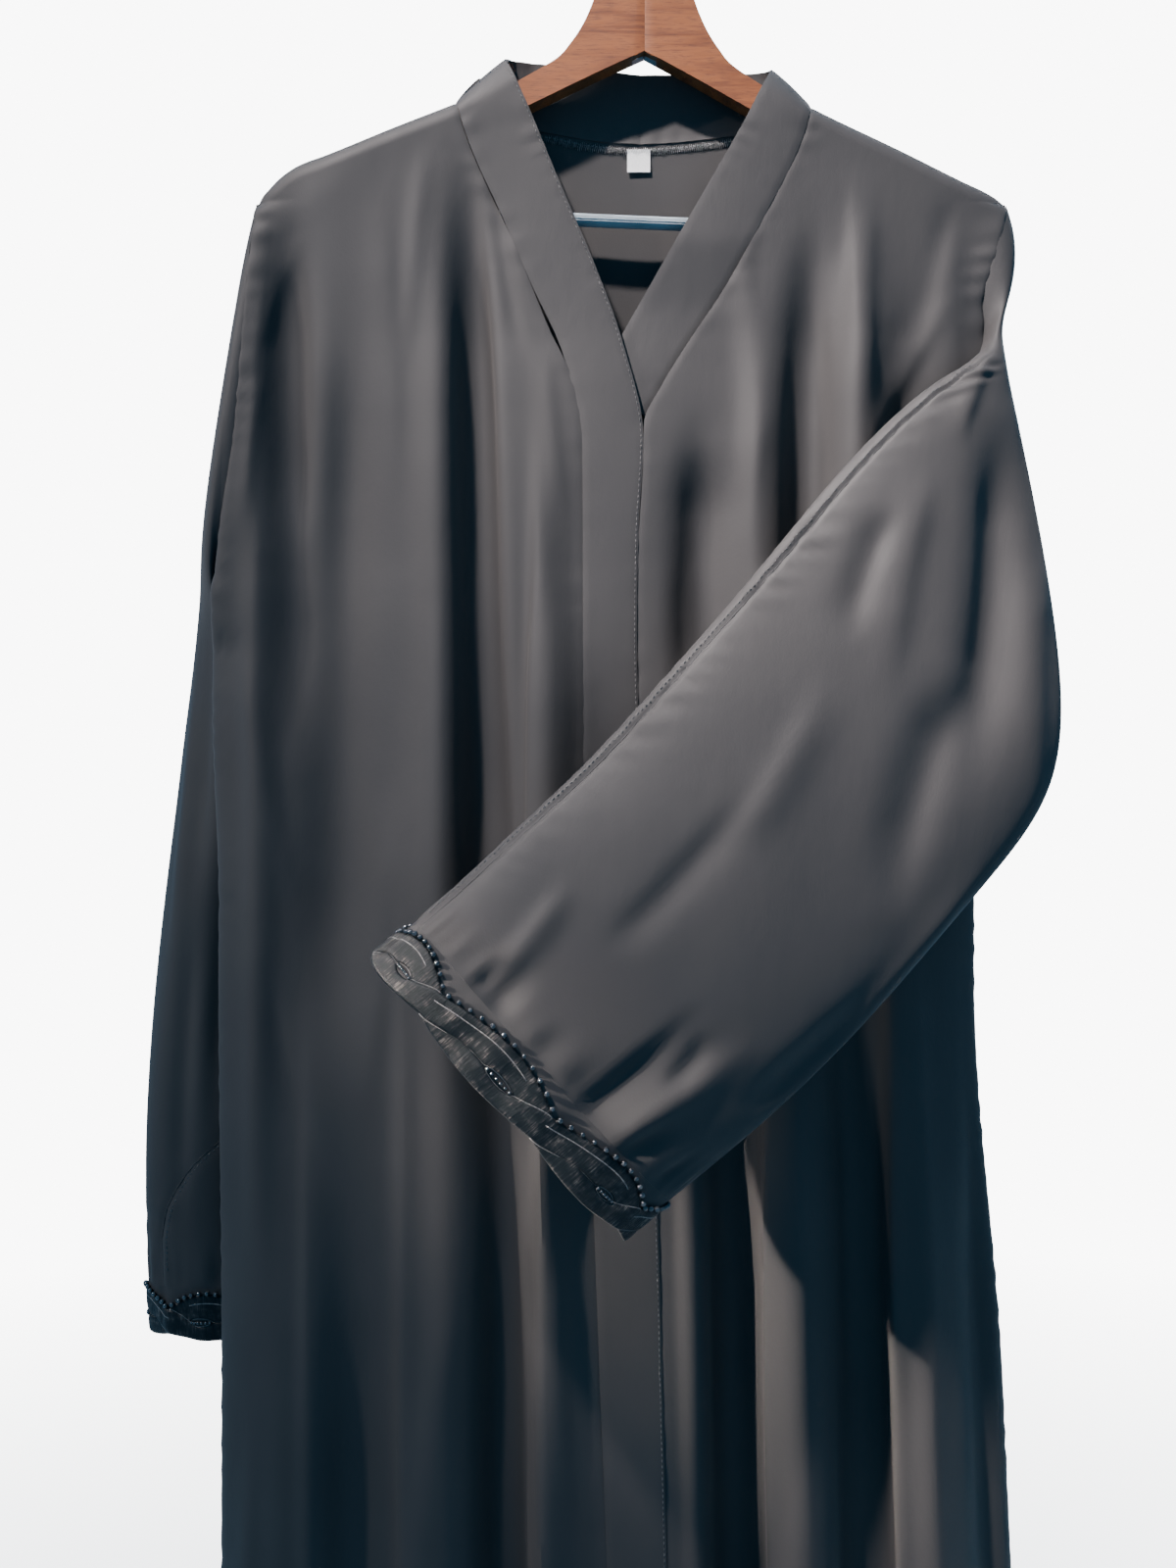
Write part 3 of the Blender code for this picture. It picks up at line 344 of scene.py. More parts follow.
def fold_out(folds, x, z):
    """Height of the lengthwise folds at points of a panel."""
    total = np.zeros(np.broadcast(x, z).shape)
    for z_from, z_to, x_from, x_to, width_from, width_to, out_from, out_to, lean in folds:
        along = (z_from - z) / (z_from - z_to)
        fade = smooth(along / FOLD_FADE)
        if z_to > HEM_Z:
            fade = np.minimum(fade, smooth((1.0 - along) / FOLD_FADE))
        share = np.clip(along, 0.0, 1.0)
        place = x_from + (x_to - x_from) * share
        width = width_from + (width_to - width_from) * share
        width = width * np.where(x < place, 1.0 - lean, 1.0 + lean)
        total += (out_from + (out_to - out_from) * share) * fade * bell(x - place, width)
    return total


def crease_out(rows, x, z):
    """Height of the creases at points of a panel or sleeve."""
    total = np.zeros(np.broadcast(x, z).shape)
    for x_from, z_from, x_to, z_to, width_low, width_high, out, bow in rows:
        run_x, run_z = x_to - x_from, z_to - z_from
        length = math.hypot(run_x, run_z)
        run_x, run_z = run_x / length, run_z / length
        t = ((x - x_from) * run_x + (z - z_from) * run_z) / length
        bend = bow * 4 * np.clip(t, 0, 1) * (1 - np.clip(t, 0, 1))
        off = (x - x_from) * run_z - (z - z_from) * run_x - bend
        fade = smooth(t / CREASE_START) * smooth((1 - t) / CREASE_END)
        total += out * fade * bell(off, np.where(off < 0, width_low, width_high))
    return total


def across_body(x, z, laps):
    """Share of the depth this far from the sides, depth at the side edge, distance from the left."""
    left = panel_edge_x(np.minimum(z, LEFT_END_Z), -1)
    right = panel_edge_x(np.minimum(z, RIGHT_END_Z), 1)
    place = (2 * x - left - right) / (right - left)
    spread = np.sqrt(np.maximum(0.0, 1.0 - np.minimum(np.abs(place), 1.0) ** body(z)[..., 4]))
    edge = np.where(place < 0, side_half(z, -1, laps[-1]), side_half(z, 1, laps[1]))
    # the armhole's depth fades out a little way into the panel
    within = np.where(place < 0, x - left, right - x)
    return spread, SIDE_SEAM_GAP + (edge - SIDE_SEAM_GAP) * bell(within, ARMHOLE_FADE), x - left


def crest(x, z):
    """Share of the full depth reached this far below the shoulder crest."""
    below = np.clip((shoulder_z(x) - z) / CREST_RADIUS, 0.0, 1.0)
    return np.sqrt(1.0 - (1.0 - below) ** 2)


def front_y(x, z):
    spread, edge, _ = across_body(x, z, FRONT_LAPS)
    depth = crest(x, z) * body(z)[..., 2] + fold_out(FRONT_FOLDS, x, z)
    return -np.maximum(edge + (depth - edge) * spread, SIDE_SEAM_GAP)


def back_y(x, z):
    spread, edge, from_left = across_body(x, z, NO_LAPS)
    depth = crest(x, z) * body(z)[..., 3] + fold_out(BACK_FOLDS, x, z)
    settle = np.clip((ARMHOLES[-1].low_z - z) / TUCK_SETTLE, 0.0, 1.0)
    depth = depth * (1.0 - BACK_TUCK * settle * bell(from_left, BACK_TUCK_REACH))
    return np.maximum(edge + (depth - edge) * spread, SIDE_SEAM_GAP)


def finer(values, cuts):
    """The same run of values with each step cut into equal parts."""
    places = np.linspace(0, len(values) - 1, (len(values) - 1) * cuts + 1)
    return np.interp(places, np.arange(len(values)), values)


def drop_rows():
    """Shares of the drop from the shoulder to the hem at the solids' rows."""
    rest, last = PANEL_ROWS - len(CREST_SHARES), CREST_SHARES[-1]
    lower = [last + (1 - last) * ((i + 1) / rest) ** ROW_GROWTH for i in range(rest)]
    return list(CREST_SHARES) + lower


def edge_spacing(count):
    t = np.arange(count) / (count - 1)
    return (1 - EDGE_DRAW) * t + EDGE_DRAW * (1 - np.cos(np.pi * t / 2))


def ripple(s, pitch, seed):
    """Uneven waves along a run, between about -1 and 1."""
    swing = 1.4 * np.sin(2 * np.pi * s / (pitch * 4.3) + 2.1 * seed)
    strength = 0.6 + 0.4 * np.sin(2 * np.pi * s / (pitch * 6.7) + 0.9 * seed)
    return np.sin(2 * np.pi * s / pitch + 1.7 * seed + swing) * strength


def swell(x, z, seed):
    """Slow unevenness of hanging cloth."""
    return UNEVEN * (np.sin(x / 23.0 + z / 140.0 + seed) * np.sin(z / 97.0 + 2.3 * seed)
                     + 0.6 * np.sin(x / 11.0 - z / 75.0 + 1.9 * seed) * np.sin(z / 51.0 + seed))


def seam_groove(distance, depth=0.45, width=1.2):
    return -depth * bell(distance, width)


# ---------------------------------------------------------------- pieces


def quads(rows, columns, closed=False):
    """Corner numbers of a grid's cells."""
    i = np.arange(rows - 1)[:, None] * columns
    j = np.arange(columns if closed else columns - 1)
    k = (j + 1) % columns
    return np.stack((i + j, i + k, i + columns + k, i + columns + j), -1).reshape(-1, 4)


def new_mesh(name, points, faces, material, sharp=True):
    """A smooth mesh; where sharp is set, its corners past fifty degrees stay crisp."""
    mesh = bpy.data.meshes.new(name)
    mesh.from_pydata((np.asarray(points) * MM).tolist(), [], faces)
    mesh.shade_smooth()
    if sharp:
        mesh.set_sharp_from_angle(angle=math.radians(50))
    mesh.materials.append(material)
    obj = bpy.data.objects.new(name, mesh)
    bpy.context.scene.collection.objects.link(obj)
    return obj


def keep(obj, slot, *nodes):
    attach(obj, "root")
    if nodes:
        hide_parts(*nodes)
    return obj


class Cloth:
    """One cloth piece: a fine grid of its outer face, rows down and columns across."""

    def __init__(self, grid, outward, closed=False):
        self.grid, self.closed = grid, closed
        self.flush_start, self.kept_normals = False, None
        self.sign = 1.0
        self.sign = 1.0 if np.sum(self.normals() * outward) > 0 else -1.0

    def normals(self):
        if self.closed:
            across = np.roll(self.grid, -1, 1) - np.roll(self.grid, 1, 1)
        else:
            across = np.gradient(self.grid, axis=1)
        normal = np.cross(across, np.gradient(self.grid, axis=0)) * self.sign
        return normal / np.maximum(np.linalg.norm(normal, axis=2, keepdims=True), 1e-9)

    def push(self, out):
        self.grid = self.grid + self.normals() * out[..., None]
        return self

    def at(self, rows, columns, lift=0.0):
        """Points on the outer face at fractional rows and columns, lifted off it, and normals."""
        rows, columns = np.broadcast_arrays(np.asarray(rows, float), np.asarray(columns, float))
        height, width = self.grid.shape[:2]
        i = np.clip(np.floor(rows).astype(int), 0, height - 2)
        j = np.floor(columns).astype(int)
        if not self.closed:
            j = np.clip(j, 0, width - 2)
        s, t = (rows - i)[..., None], (columns - j)[..., None]
        j, k = j % width, (j + 1) % width
        if self.kept_normals is None:
            self.kept_normals = self.normals()
        found = []
        for grid in (self.grid, self.kept_normals):
            found.append((grid[i, j] * (1 - t) + grid[i, k] * t) * (1 - s)
                         + (grid[i + 1, j] * (1 - t) + grid[i + 1, k] * t) * s)
        return found[0] + found[1] * np.asarray(lift, float)[..., None], found[1]

    def closed_grid(self):
        return np.concatenate((self.grid, self.grid[:, :1]), axis=1) if self.closed else self.grid

    def flat_size(self):
        """Widest row and longest column of the outer face, in metres."""
        width = np.linalg.norm(np.diff(self.closed_grid(), axis=1), axis=2).sum(1)
        length = np.linalg.norm(np.diff(self.grid, axis=0), axis=2).sum(0)
        return float(width.max()) * MM, float(length.max()) * MM

    def area(self):
        """Area of the outer face in square metres, as two triangles to a cell."""
        corner = self.closed_grid()
        one = np.cross(corner[:-1, 1:] - corner[:-1, :-1], corner[1:, :-1] - corner[:-1, :-1])
        two = np.cross(corner[1:, :-1] - corner[1:, 1:], corner[:-1, 1:] - corner[1:, 1:])
        total = np.linalg.norm(one, axis=2).sum() + np.linalg.norm(two, axis=2).sum()
        return float(total) / 2 * MM * MM

    def build(self, name, material, thickness):
        """The wall: the outer face, an inner one behind it and rims between them."""
        rows, columns = self.grid.shape[:2]
        inner = self.grid - self.normals() * thickness
        if self.flush_start:
            inner[0, :, 0] = self.grid[0, :, 0]
        points = np.concatenate((self.grid.reshape(-1, 3), inner.reshape(-1, 3)))
        shift = rows * columns
        skin = quads(rows, columns, self.closed)
        j = np.arange(columns if self.closed else columns - 1)
        k, low = (j + 1) % columns, (rows - 1) * columns
        rims = [(j, k), (low + k, low + j)]
        if not self.closed:
            i = np.arange(rows - 1) * columns
            rims += [(i + columns - 1, i + 2 * columns - 1), (i + columns, i)]
        faces = [skin, skin[:, ::-1] + shift]
        faces += [np.stack((q, p, p + shift, q + shift), -1) for p, q in rims]
        faces = np.concatenate(faces)[:, ::1 if self.sign > 0 else -1]
        return new_mesh(name, points, faces.tolist(), material)


def cloth_piece(cloth, name, node, slot, material, thickness=CLOTH):
    """A sheet in place of its solid, which is hidden. The flat size and area of its own grid, which isn't
    a rectangle, are worked out but not used.
    """
    piece = keep(cloth.build(name, material, thickness), slot, node)
    width, length = (round(side, 4) for side in cloth.flat_size())
    area = round(min(cloth.area(), width * length), 6)


# ---------------------------------------------------------------- materials


class Nodes:
    """A node tree and short ways to add nodes to it and join them."""

    def __init__(self, tree):
        self.tree = tree

    def node(self, kind, **values):
        node = self.tree.nodes.new("ShaderNode" + kind)
        for key, value in values.items():
            if key in node.inputs:
                node.inputs[key].default_value = value
            else:
                setattr(node, key, value)
        return node

    def link(self, output, target):
        self.tree.links.new(output, target)

    def mix(self, factor, one, two, output):
        """Joins the mixture of two shaders to the output node."""
        node = self.node("MixShader")
        for source, place in ((factor, 0), (one, 1), (two, 2)):
            self.link(source, node.inputs[place])
        self.link(node.outputs["Shader"], self.tree.nodes[output].inputs["Surface"])


class Shader(Nodes):
    """A Principled material and short ways to feed its sockets."""

    def __init__(self, name, colour, roughness, metallic=0.0, **inputs):
        self.material = bpy.data.materials.new(name)
        self.material.use_nodes = True
        super().__init__(self.material.node_tree)
        self.shader = self.tree.nodes["Principled BSDF"]
        inputs |= {"Base Color": (*colour, 1.0), "Roughness": roughness, "Metallic": metallic}
        for key, value in inputs.items():
            self.shader.inputs[key].default_value = value
        self.material.diffuse_color = (*colour, 1.0)

    def place(self, scale=(1, 1, 1), rotation=(0, 0, 0), vector=None):
        """The object's own coordinates, or the given ones, scaled and turned."""
        mapping = self.node("Mapping", Scale=scale, Rotation=rotation)
        vector = vector or self.node("TexCoord").outputs["Object"]
        self.link(vector, mapping.inputs["Vector"])
        return mapping.outputs["Vector"]

    def noise(self, vector, scale, detail=2.0, roughness=0.5, distortion=0.0):
        node = self.node("TexNoise", Scale=scale, Detail=detail, Roughness=roughness,
                         Distortion=distortion)
        self.link(vector, node.inputs["Vector"])
        return node.outputs["Fac"]

    def ramp(self, value, *stops):
        node = self.node("ValToRGB")
        elements = node.color_ramp.elements
        while len(elements) < len(stops):
            elements.new(0.5)
        for element, (place, colour) in zip(elements, stops):
            element.position = place
            element.color = (*colour, 1.0)
        self.link(value, node.inputs["Fac"])
        return node.outputs["Color"]

    def bump(self, height, strength, distance, before=None):
        node = self.node("Bump", Strength=strength, Distance=distance)
        self.link(height, node.inputs["Height"])
        if before is not None:
            self.link(before, node.inputs["Normal"])
        return node.outputs["Normal"]

    def feed(self, output, socket):
        self.link(output, self.shader.inputs[socket])


def grey(value):
    return (value, value, value)


def shade(colour, factor):
    return tuple(min(1.0, c * factor) for c in colour)


def crepe_material(name, roughness):
    """Fine black crepe: slight cloudy variation, a crinkled grain, a soft sheen."""
    dark, light = (0.0300, 0.0285, 0.0285), (0.0390, 0.0365, 0.0355)
    cloth = Shader(name, dark, roughness, **{
        "Specular IOR Level": 0.26, "Sheen Weight": 0.12, "Sheen Roughness": 0.45,
        "Sheen Tint": (0.66, 0.60, 0.56, 1.0)})
    cloud = cloth.noise(cloth.place(), 9.0, 3.0)
    cloth.feed(cloth.ramp(cloud, (0.3, dark), (0.7, light)), "Base Color")
    shine = cloth.noise(cloth.place((1, 1, 0.35)), 24.0, 3.0)
    cloth.feed(cloth.ramp(shine, (0.3, grey(roughness - 0.05)), (0.7, grey(roughness + 0.06))),
               "Roughness")
    grain = cloth.noise(cloth.place((1.0, 1.0, 0.45)), 1500.0, 2.0, 0.6)
    crinkle = cloth.noise(cloth.place((1.0, 1.0, 0.55)), 95.0, 3.0, 0.55)
    fine = cloth.bump(grain, 0.22, 0.0003)
    cloth.feed(cloth.bump(crinkle, 0.16, 0.0016, fine), "Normal")
    return cloth.material


def satin_material(name):
    """Satin stitches: fine threads across each band, from the run kept on the mesh, with painted
    highlights on the threads, brighter in patches.
    """
    satin = Shader(name, (0.012, 0.013, 0.014), 0.46, **{
        "Specular IOR Level": 0.24, "Sheen Weight": 0.06, "Sheen Roughness": 0.3, "Anisotropic": 0.4})
    chart = satin.node("CombineXYZ")
    for axis, name in (("X", "run"), ("Y", "off")):
        satin.link(satin.node("Attribute", attribute_name=name).outputs["Fac"], chart.inputs[axis])
    strands = satin.place((1.15, 0.09, 1.0), vector=chart.outputs["Vector"])
    strand = satin.noise(strands, 1.0, 3.0, 0.6)
    # large patches that brighten the painted thread highlights
    glint_patches = satin.place((0.12, 0.20, 1.0), vector=chart.outputs["Vector"])
    thread_tone_and_glint = satin.node("Math", operation="MULTIPLY")
    satin.link(strand, thread_tone_and_glint.inputs[0])
    satin.link(satin.ramp(satin.noise(glint_patches, 1.0, 2.0), (0.38, grey(0.84)), (0.66, grey(1.26))),
               thread_tone_and_glint.inputs[1])
    # the low stops are the threads' own dark tone; the warm top stops are painted highlights on them
    satin.feed(satin.ramp(thread_tone_and_glint.outputs["Value"],
                          (0.42, (0.003, 0.005, 0.006)), (0.56, (0.010, 0.012, 0.013)),
                          (0.66, (0.028, 0.026, 0.024)), (0.80, (0.12, 0.103, 0.092))), "Base Color")
    satin.feed(satin.bump(strand, 0.8, 0.0006), "Normal")
    return satin.material


def thread_material(name, colour, roughness=0.45):
    thread = Shader(name, colour, roughness, **{"Sheen Weight": 0.1})
    fleck = thread.noise(thread.place(), 700.0, 2.0)
    thread.feed(thread.ramp(fleck, (0.35, shade(colour, 0.6)), (0.65, shade(colour, 1.5))),
                "Base Color")
    return thread.material


def bead_material(name):
    bead = Shader(name, (0.012, 0.013, 0.015), 0.24, 0.35, **{
        "Specular IOR Level": 0.9, "Coat Weight": 1.0, "Coat Roughness": 0.2})
    tint = bead.noise(bead.place(), 300.0, 1.0)
    bead.feed(bead.ramp(tint, (0.35, (0.010, 0.012, 0.014)), (0.7, (0.040, 0.042, 0.046))),
              "Base Color")
    return bead.material


def wood_material(name, side):
    """Red-brown varnished wood with its grain along the arm."""
    wood = Shader(name, (0.36, 0.15, 0.07), 0.40, **{"Coat Weight": 0.35, "Coat Roughness": 0.25})
    turn = (0.0, -math.radians(24) * side, 0.0)
    figure = wood.noise(wood.place((5.0, 26.0, 60.0), turn), 3.2, 4.0, 0.55, 0.9)
    fibre = wood.noise(wood.place((60.0, 420.0, 700.0), turn), 2.0, 4.0, 0.7)
    blend = wood.node("Mix", data_type="RGBA", blend_type="MULTIPLY", Factor=0.8)
    wood.link(wood.ramp(figure, (0.28, (0.110, 0.028, 0.007)), (0.46, (0.215, 0.064, 0.016)),
                        (0.60, (0.265, 0.083, 0.022)), (0.78, (0.165, 0.045, 0.012))),
              blend.inputs["A"])
    wood.link(wood.ramp(fibre, (0.34, (0.38, 0.27, 0.20)), (0.47, grey(1.0))), blend.inputs["B"])
    wood.feed(blend.outputs["Result"], "Base Color")
    wood.feed(wood.ramp(fibre, (0.3, grey(0.5)), (0.7, grey(0.34))), "Roughness")
    wood.feed(wood.bump(fibre, 0.12, 0.0004), "Normal")
    return wood.material


def plain_material(name, colour, roughness, metallic, spread, scale, bump=0.0):
    plain = Shader(name, colour, roughness, metallic)
    tint = plain.noise(plain.place(), scale, 3.0)
    plain.feed(plain.ramp(tint, (0.3, shade(colour, 1 - spread)), (0.7, shade(colour, 1 + spread))),
               "Base Color")
    if bump:
        plain.feed(plain.bump(tint, bump, 0.0005), "Normal")
    return plain.material


crepe, crepe_band = crepe_material("black_crepe", 0.66), crepe_material("black_crepe_band", 0.62)
satin = satin_material("black_satin_stitch")
thread = thread_material("black_thread", (0.070, 0.067, 0.064))
# near-black thread for the sleeve seams: painted shade in their grooves
seam_shade_thread = thread_material("seam_shade_thread", (0.010, 0.010, 0.011), 0.7)
cord_thread = thread_material("grey_cord", (0.13, 0.122, 0.115))
loose_thread = thread_material("overlock_thread", grey(0.24))
bead_glass = bead_material("black_glass_bead")

# ---------------------------------------------------------------- body panels


def hem_relief(z, x, seed):
    above = z - HEM_Z
    turned = 0.35 * smooth(1.0 - (above - HEM_DEPTH) / 1.5)
    line = seam_groove(above - HEM_DEPTH + HEM_LINE_IN, 0.5, 1.2)
    return turned + line + 0.45 * ripple(x, 13.0, seed) * bell(above - HEM_DEPTH, 9.0)


def front_panel(side, seam, neck_z):
    end_x, end_z = ARMHOLES[side][:2]
    shares = finer(drop_rows(), ROW_CUTS)[:, None]
    across = finer(edge_spacing(FRONT_COLUMNS), COLUMN_CUTS)[None, :]
    outer = panel_edge_x(end_z + (HEM_Z - end_z) * shares, side)
    inner = seam(neck_z + (HEM_Z - neck_z) * shares) + side * SEAM_GAP
    x = outer + (inner - outer) * across
    top_z = shoulder_z(end_x + (seam(neck_z) - end_x) * across)
    z = top_z + (HEM_Z - top_z) * shares
    cloth = Cloth(np.stack((x, front_y(x, z), z), -1), FRONT)
    from_seam, from_side, below = np.abs(x - inner), np.abs(x - outer), top_z - z
    out = CLOTH + crease_out(FRONT_CREASES, x, z) * smooth(from_side / 12)
    out += fold_out(FRONT_DRAPE, x, z) * smooth(from_side / 14) * smooth(from_seam / 10)
    out += swell(x, z, side) * smooth(from_side / 20) * smooth(below / 30)
    out += seam_groove(from_seam)
    out += 0.4 * ripple(z, 17.0, 3 + side) * bell(from_seam, 8) * smooth(below / 20)
    out += 0.5 * ripple(z, 15.0, 5 + side) * bell(from_side - 4, 8)
    out += hem_relief(z, x, 2 + side)
    return cloth.push(out)


def back_top_z(x):
    inside = (x > NECK_LEFT_X) & (x < NECK_RIGHT_X)
    return np.where(inside, back_neck(x) + NECK_TUCK, shoulder_z(x))


def stand_back_x(share, neck_x):
    return neck_x + (CENTRE_BACK_X - neck_x) * (share - SHOULDER_SHARE) / (1 - SHOULDER_SHARE)


def back_panel():
    spacing = edge_spacing(SHOULDER_COLUMNS)
    places = [LEFT_END_X + (NECK_LEFT_X - LEFT_END_X) * across for across in spacing]
    places += [stand_back_x(share, NECK_LEFT_X) for share in reversed(STAND_BACK_SHARES[:-1])]
    places += [stand_back_x(share, NECK_RIGHT_X) for share in STAND_BACK_SHARES[1:-1]]
    places += [RIGHT_END_X + (NECK_RIGHT_X - RIGHT_END_X) * across for across in spacing[::-1]]
    places = finer(places, COLUMN_CUTS - 1)[None, :]
    shares = finer(drop_rows(), ROW_CUTS - 1)[:, None]
    left = panel_edge_x(LEFT_END_Z + (HEM_Z - LEFT_END_Z) * shares, -1)
    right = panel_edge_x(RIGHT_END_Z + (HEM_Z - RIGHT_END_Z) * shares, 1)
    x = left + (right - left) * (places - LEFT_END_X) / (RIGHT_END_X - LEFT_END_X)
    top_z = back_top_z(places)
    z = top_z + (HEM_Z - top_z) * shares
    cloth = Cloth(np.stack((x, back_y(x, z), z), -1), BACK)
    from_side = np.minimum(np.abs(x - left), np.abs(x - right))
    out = CLOTH + crease_out(BACK_CREASES, x, z) * smooth(from_side / 12)
    out += swell(x, z, 4) * smooth(from_side / 20) * smooth((top_z - z) / 30)
    out += 0.5 * ripple(z, 15.0, 7) * bell(from_side - 4, 8)
    out += hem_relief(z, x, 8)
    return cloth.push(out)


# ---------------------------------------------------------------- sleeves


def sleeve_rings(values, turn):
    """Points of rings at angles from their underarm edges, and the rings' centres."""
    outer, inner, half = values[..., 0:3], values[..., 3:6], values[..., 6:7]
    centre, reach = (outer + inner) / 2, (outer - inner) / 2
    along = reach / np.linalg.norm(reach, axis=-1, keepdims=True)
    forward = FRONT - np.sum(FRONT * along, -1, keepdims=True) * along
    forward = forward / np.linalg.norm(forward, axis=-1, keepdims=True) * half
    cos, sin = np.cos(turn)[..., None], np.sin(turn)[..., None]
    return centre[..., None, :] - reach[..., None, :] * cos + forward[..., None, :] * sin, centre


class Sleeve:
    """A sleeve with the run of its underarm seam: where it lies round the tube at each row."""

    def __init__(self, side, seam_turn, creases):
        hole, self.side = ARMHOLES[side], side
        first = (hole.end_x, 0, hole.end_z, hole.low_x, 0, hole.low_z, hole.half)
        rows = [(index, *ring) for index, ring in enumerate((first, *SLEEVE_RINGS[side]))]
        values = Track(rows)(np.linspace(0, len(rows) - 1, SLEEVE_DOWN))
        for _ in range(SLEEVE_EASE):
            values[1:-1] = (values[:-2] + 2 * values[1:-1] + values[2:]) / 4
        turn = np.linspace(0, 2 * np.pi, SLEEVE_AROUND, endpoint=False)
        grid, centre = sleeve_rings(values, turn)
        grid[0] += np.array((side * SEAM_GAP, 0.0, 0.0))
        self.cloth = Cloth(grid, grid - centre[:, None, :], True)
        self.run = run_along(centre)[:, None]
        self.width = np.linalg.norm(values[:, 0:3] - values[:, 3:6], axis=1)[:, None]
        self.seam_turn = seam_turn(self)
        self.seam_start = SEAM_STARTS[side]
        self.relief(turn[None, :], creases)

    def relief(self, turn, creases):
        x, z = self.cloth.grid[..., 0], self.cloth.grid[..., 2]
        run, side, arc = self.run, self.side, self.width / 2
        left = run[-1] - run
        front = smooth((np.sin(turn) - 0.08) / 0.35)
        behind = smooth((-np.sin(turn) - 0.08) / 0.35)
        fade = smooth(run / 40) * smooth(left / 12 + 0.25)
        out = (crease_out(creases[0], x, z) * front + crease_out(creases[1], x, z) * behind) * fade
        out += swell(x, z, 6 + side) * fade * (front + behind)
        # distance from the seam, measured across the flattened sleeve
        gap = (turn - self.seam_turn + np.pi) % (2 * np.pi) - np.pi
        across = arc * (np.cos(self.seam_turn) - np.cos(self.seam_turn + gap))
        near = np.abs(gap) < SEAM_SIGHT
        distance = np.where(near, np.abs(across) + 0.25 * arc * np.abs(gap) ** 3, FAR_OFF)
        begin = smooth((run - self.seam_start) / 25)
        out += seam_groove(distance, 1.1, 1.2) * begin
        strip = np.where((gap < 0) & near, smooth(distance / 2.5), 0.0)
        out += 0.4 * strip * begin * smooth(left / 15)
        # puckers beside the seam
        beside = np.where(gap > 0, distance, distance * 3.0)
        pucker = ripple(run + 0.45 * distance, 19.0, 2 + side)
        pucker = pucker + 0.6 * ripple(run - 0.3 * distance, 11.3, 4 + side)
        patchy = 0.35 + 0.65 * np.clip(ripple(run, 57.0, 5 + side) + 0.5, 0, 1)
        strength = 1.25 * patchy * (1 - 0.75 * smooth((run / run[-1] - 0.55) / 0.35))
        out += strength * pucker * bell(beside - 4, 11) * begin
        # gathers where the cuff's trim is sewn on
        around = turn / (2 * np.pi) * CUFF_ROUND
        gather = ripple(around, 21.0, 3 + side) + 0.6 * ripple(around, 12.0, 6 + side)
        out += 0.8 * gather * bell(left - 7, 15) * smooth(left / 5)
        # the head of the sleeve meets the outer faces of the panels
        out += (CLOTH - SIDE_SEAM_GAP) * (1 - smooth(run / SEAM_OPEN))
        self.cloth.push(out)

    def seam_line(self, skip, stop, offset, lift):
        """A line along the underarm seam, offset round the tube and lifted, in millimetres."""
        index = np.arange(SLEEVE_DOWN)
        start = np.interp(self.seam_start + skip, self.run[:, 0], index)
        rows = np.linspace(start, SLEEVE_DOWN - stop, SEAM_POINTS)
        turn = np.interp(rows, index, self.seam_turn[:, 0])
        arc = np.interp(rows, index, self.width[:, 0]) / 2
        turn = turn + offset / np.maximum(arc * np.maximum(np.abs(np.sin(turn)), 0.2), 5.0)
        return self.cloth.at(rows, turn / (2 * np.pi) * SLEEVE_AROUND, lift)


def raised_seam_turn(sleeve):
    """On the front: a strip between the folded edge and the seam narrows from 8 to 2.8 mm."""
    share = np.clip(sleeve.run / sleeve.run[-1], 0, 1)
    return np.arccos(np.clip(1 - 2 * (8.0 - 5.2 * share) / sleeve.width, -1, 1))


def hanging_seam_turn(sleeve):
    """Along the inner edge at first, then across the front toward the outer edge."""
    share = np.clip(sleeve.run / sleeve.run[-1], 0, 1)
    return 0.05 + 2.75 * smooth((share - 0.60) / 0.36)


# ---------------------------------------------------------------- neckband

Stand = namedtuple("Stand", "neck_x neck_z seam top edge rise low_z")
STANDS = {
    -1: Stand(NECK_LEFT_X, NECK_RIGHT_Z, band_right_seam, BAND_RIGHT_TOP, BAND_RIGHT_EDGE,
              BAND_RIGHT_RISE, HEM_Z),
    1: Stand(NECK_RIGHT_X, NECK_LEFT_Z, front_left_seam, BAND_LEFT_TOP, BAND_LEFT_EDGE,
             BAND_LEFT_RISE, BAND_LEFT_END_Z),
}


def band_grid(stand):
    """A half of the neckband: it stands round the neck and lies flat down the front."""
    top, rise, edge = Track(stand.top), Track(stand.rise), Track(stand.edge)
    drops = [stand.neck_z + (HEM_Z - stand.neck_z) * drop for drop in drop_rows()]
    rows = []
    for share in STAND_BACK_SHARES:
        x = stand_back_x(share, stand.neck_x)
        rows.append((x, float(back_neck(x)) + SEAM_GAP, *top(share), 0.0))
    for share, z in zip(STAND_FRONT_SHARES, drops[1:]):
        rows.append((float(stand.seam(z)), z, *top(share), 0.0))
    heights = [z for z in drops[len(STAND_FRONT_SHARES) + 1:] if z >= stand.low_z - 1.0]
    if stand.low_z > HEM_Z:
        heights.append(stand.low_z)
    for z in heights:
        edge_z = z + float(rise(z))
        x = float(edge(edge_z))
        rows.append((float(stand.seam(z)), z, x, float(front_y(x, edge_z)), edge_z, 1.0))
    rows = np.array(rows)
    index = np.arange(len(rows))
    fine = finer(index, BAND_ROW_CUTS)
    run = Track(np.column_stack((index, rows[:, :5])))(fine)[:, None]
    flat = np.interp(fine, index, rows[:, 5])[:, None]
    seam_x, seam_z = run[..., 0], run[..., 1]
    on_front = fine[:, None] >= len(STAND_BACK_SHARES) - 1
    seam_y = np.where(on_front, front_y(seam_x, seam_z), back_y(seam_x, seam_z))
    start = np.stack((seam_x, seam_y, seam_z), -1)
    across = np.linspace(0, 1, BAND_AROUND)[None, :, None]
    grid = start + (run[..., 2:5] - start) * across
    grid[..., 1] = grid[..., 1] * (1 - flat) + front_y(grid[..., 0], grid[..., 2]) * flat
    return grid, across[..., 0], flat


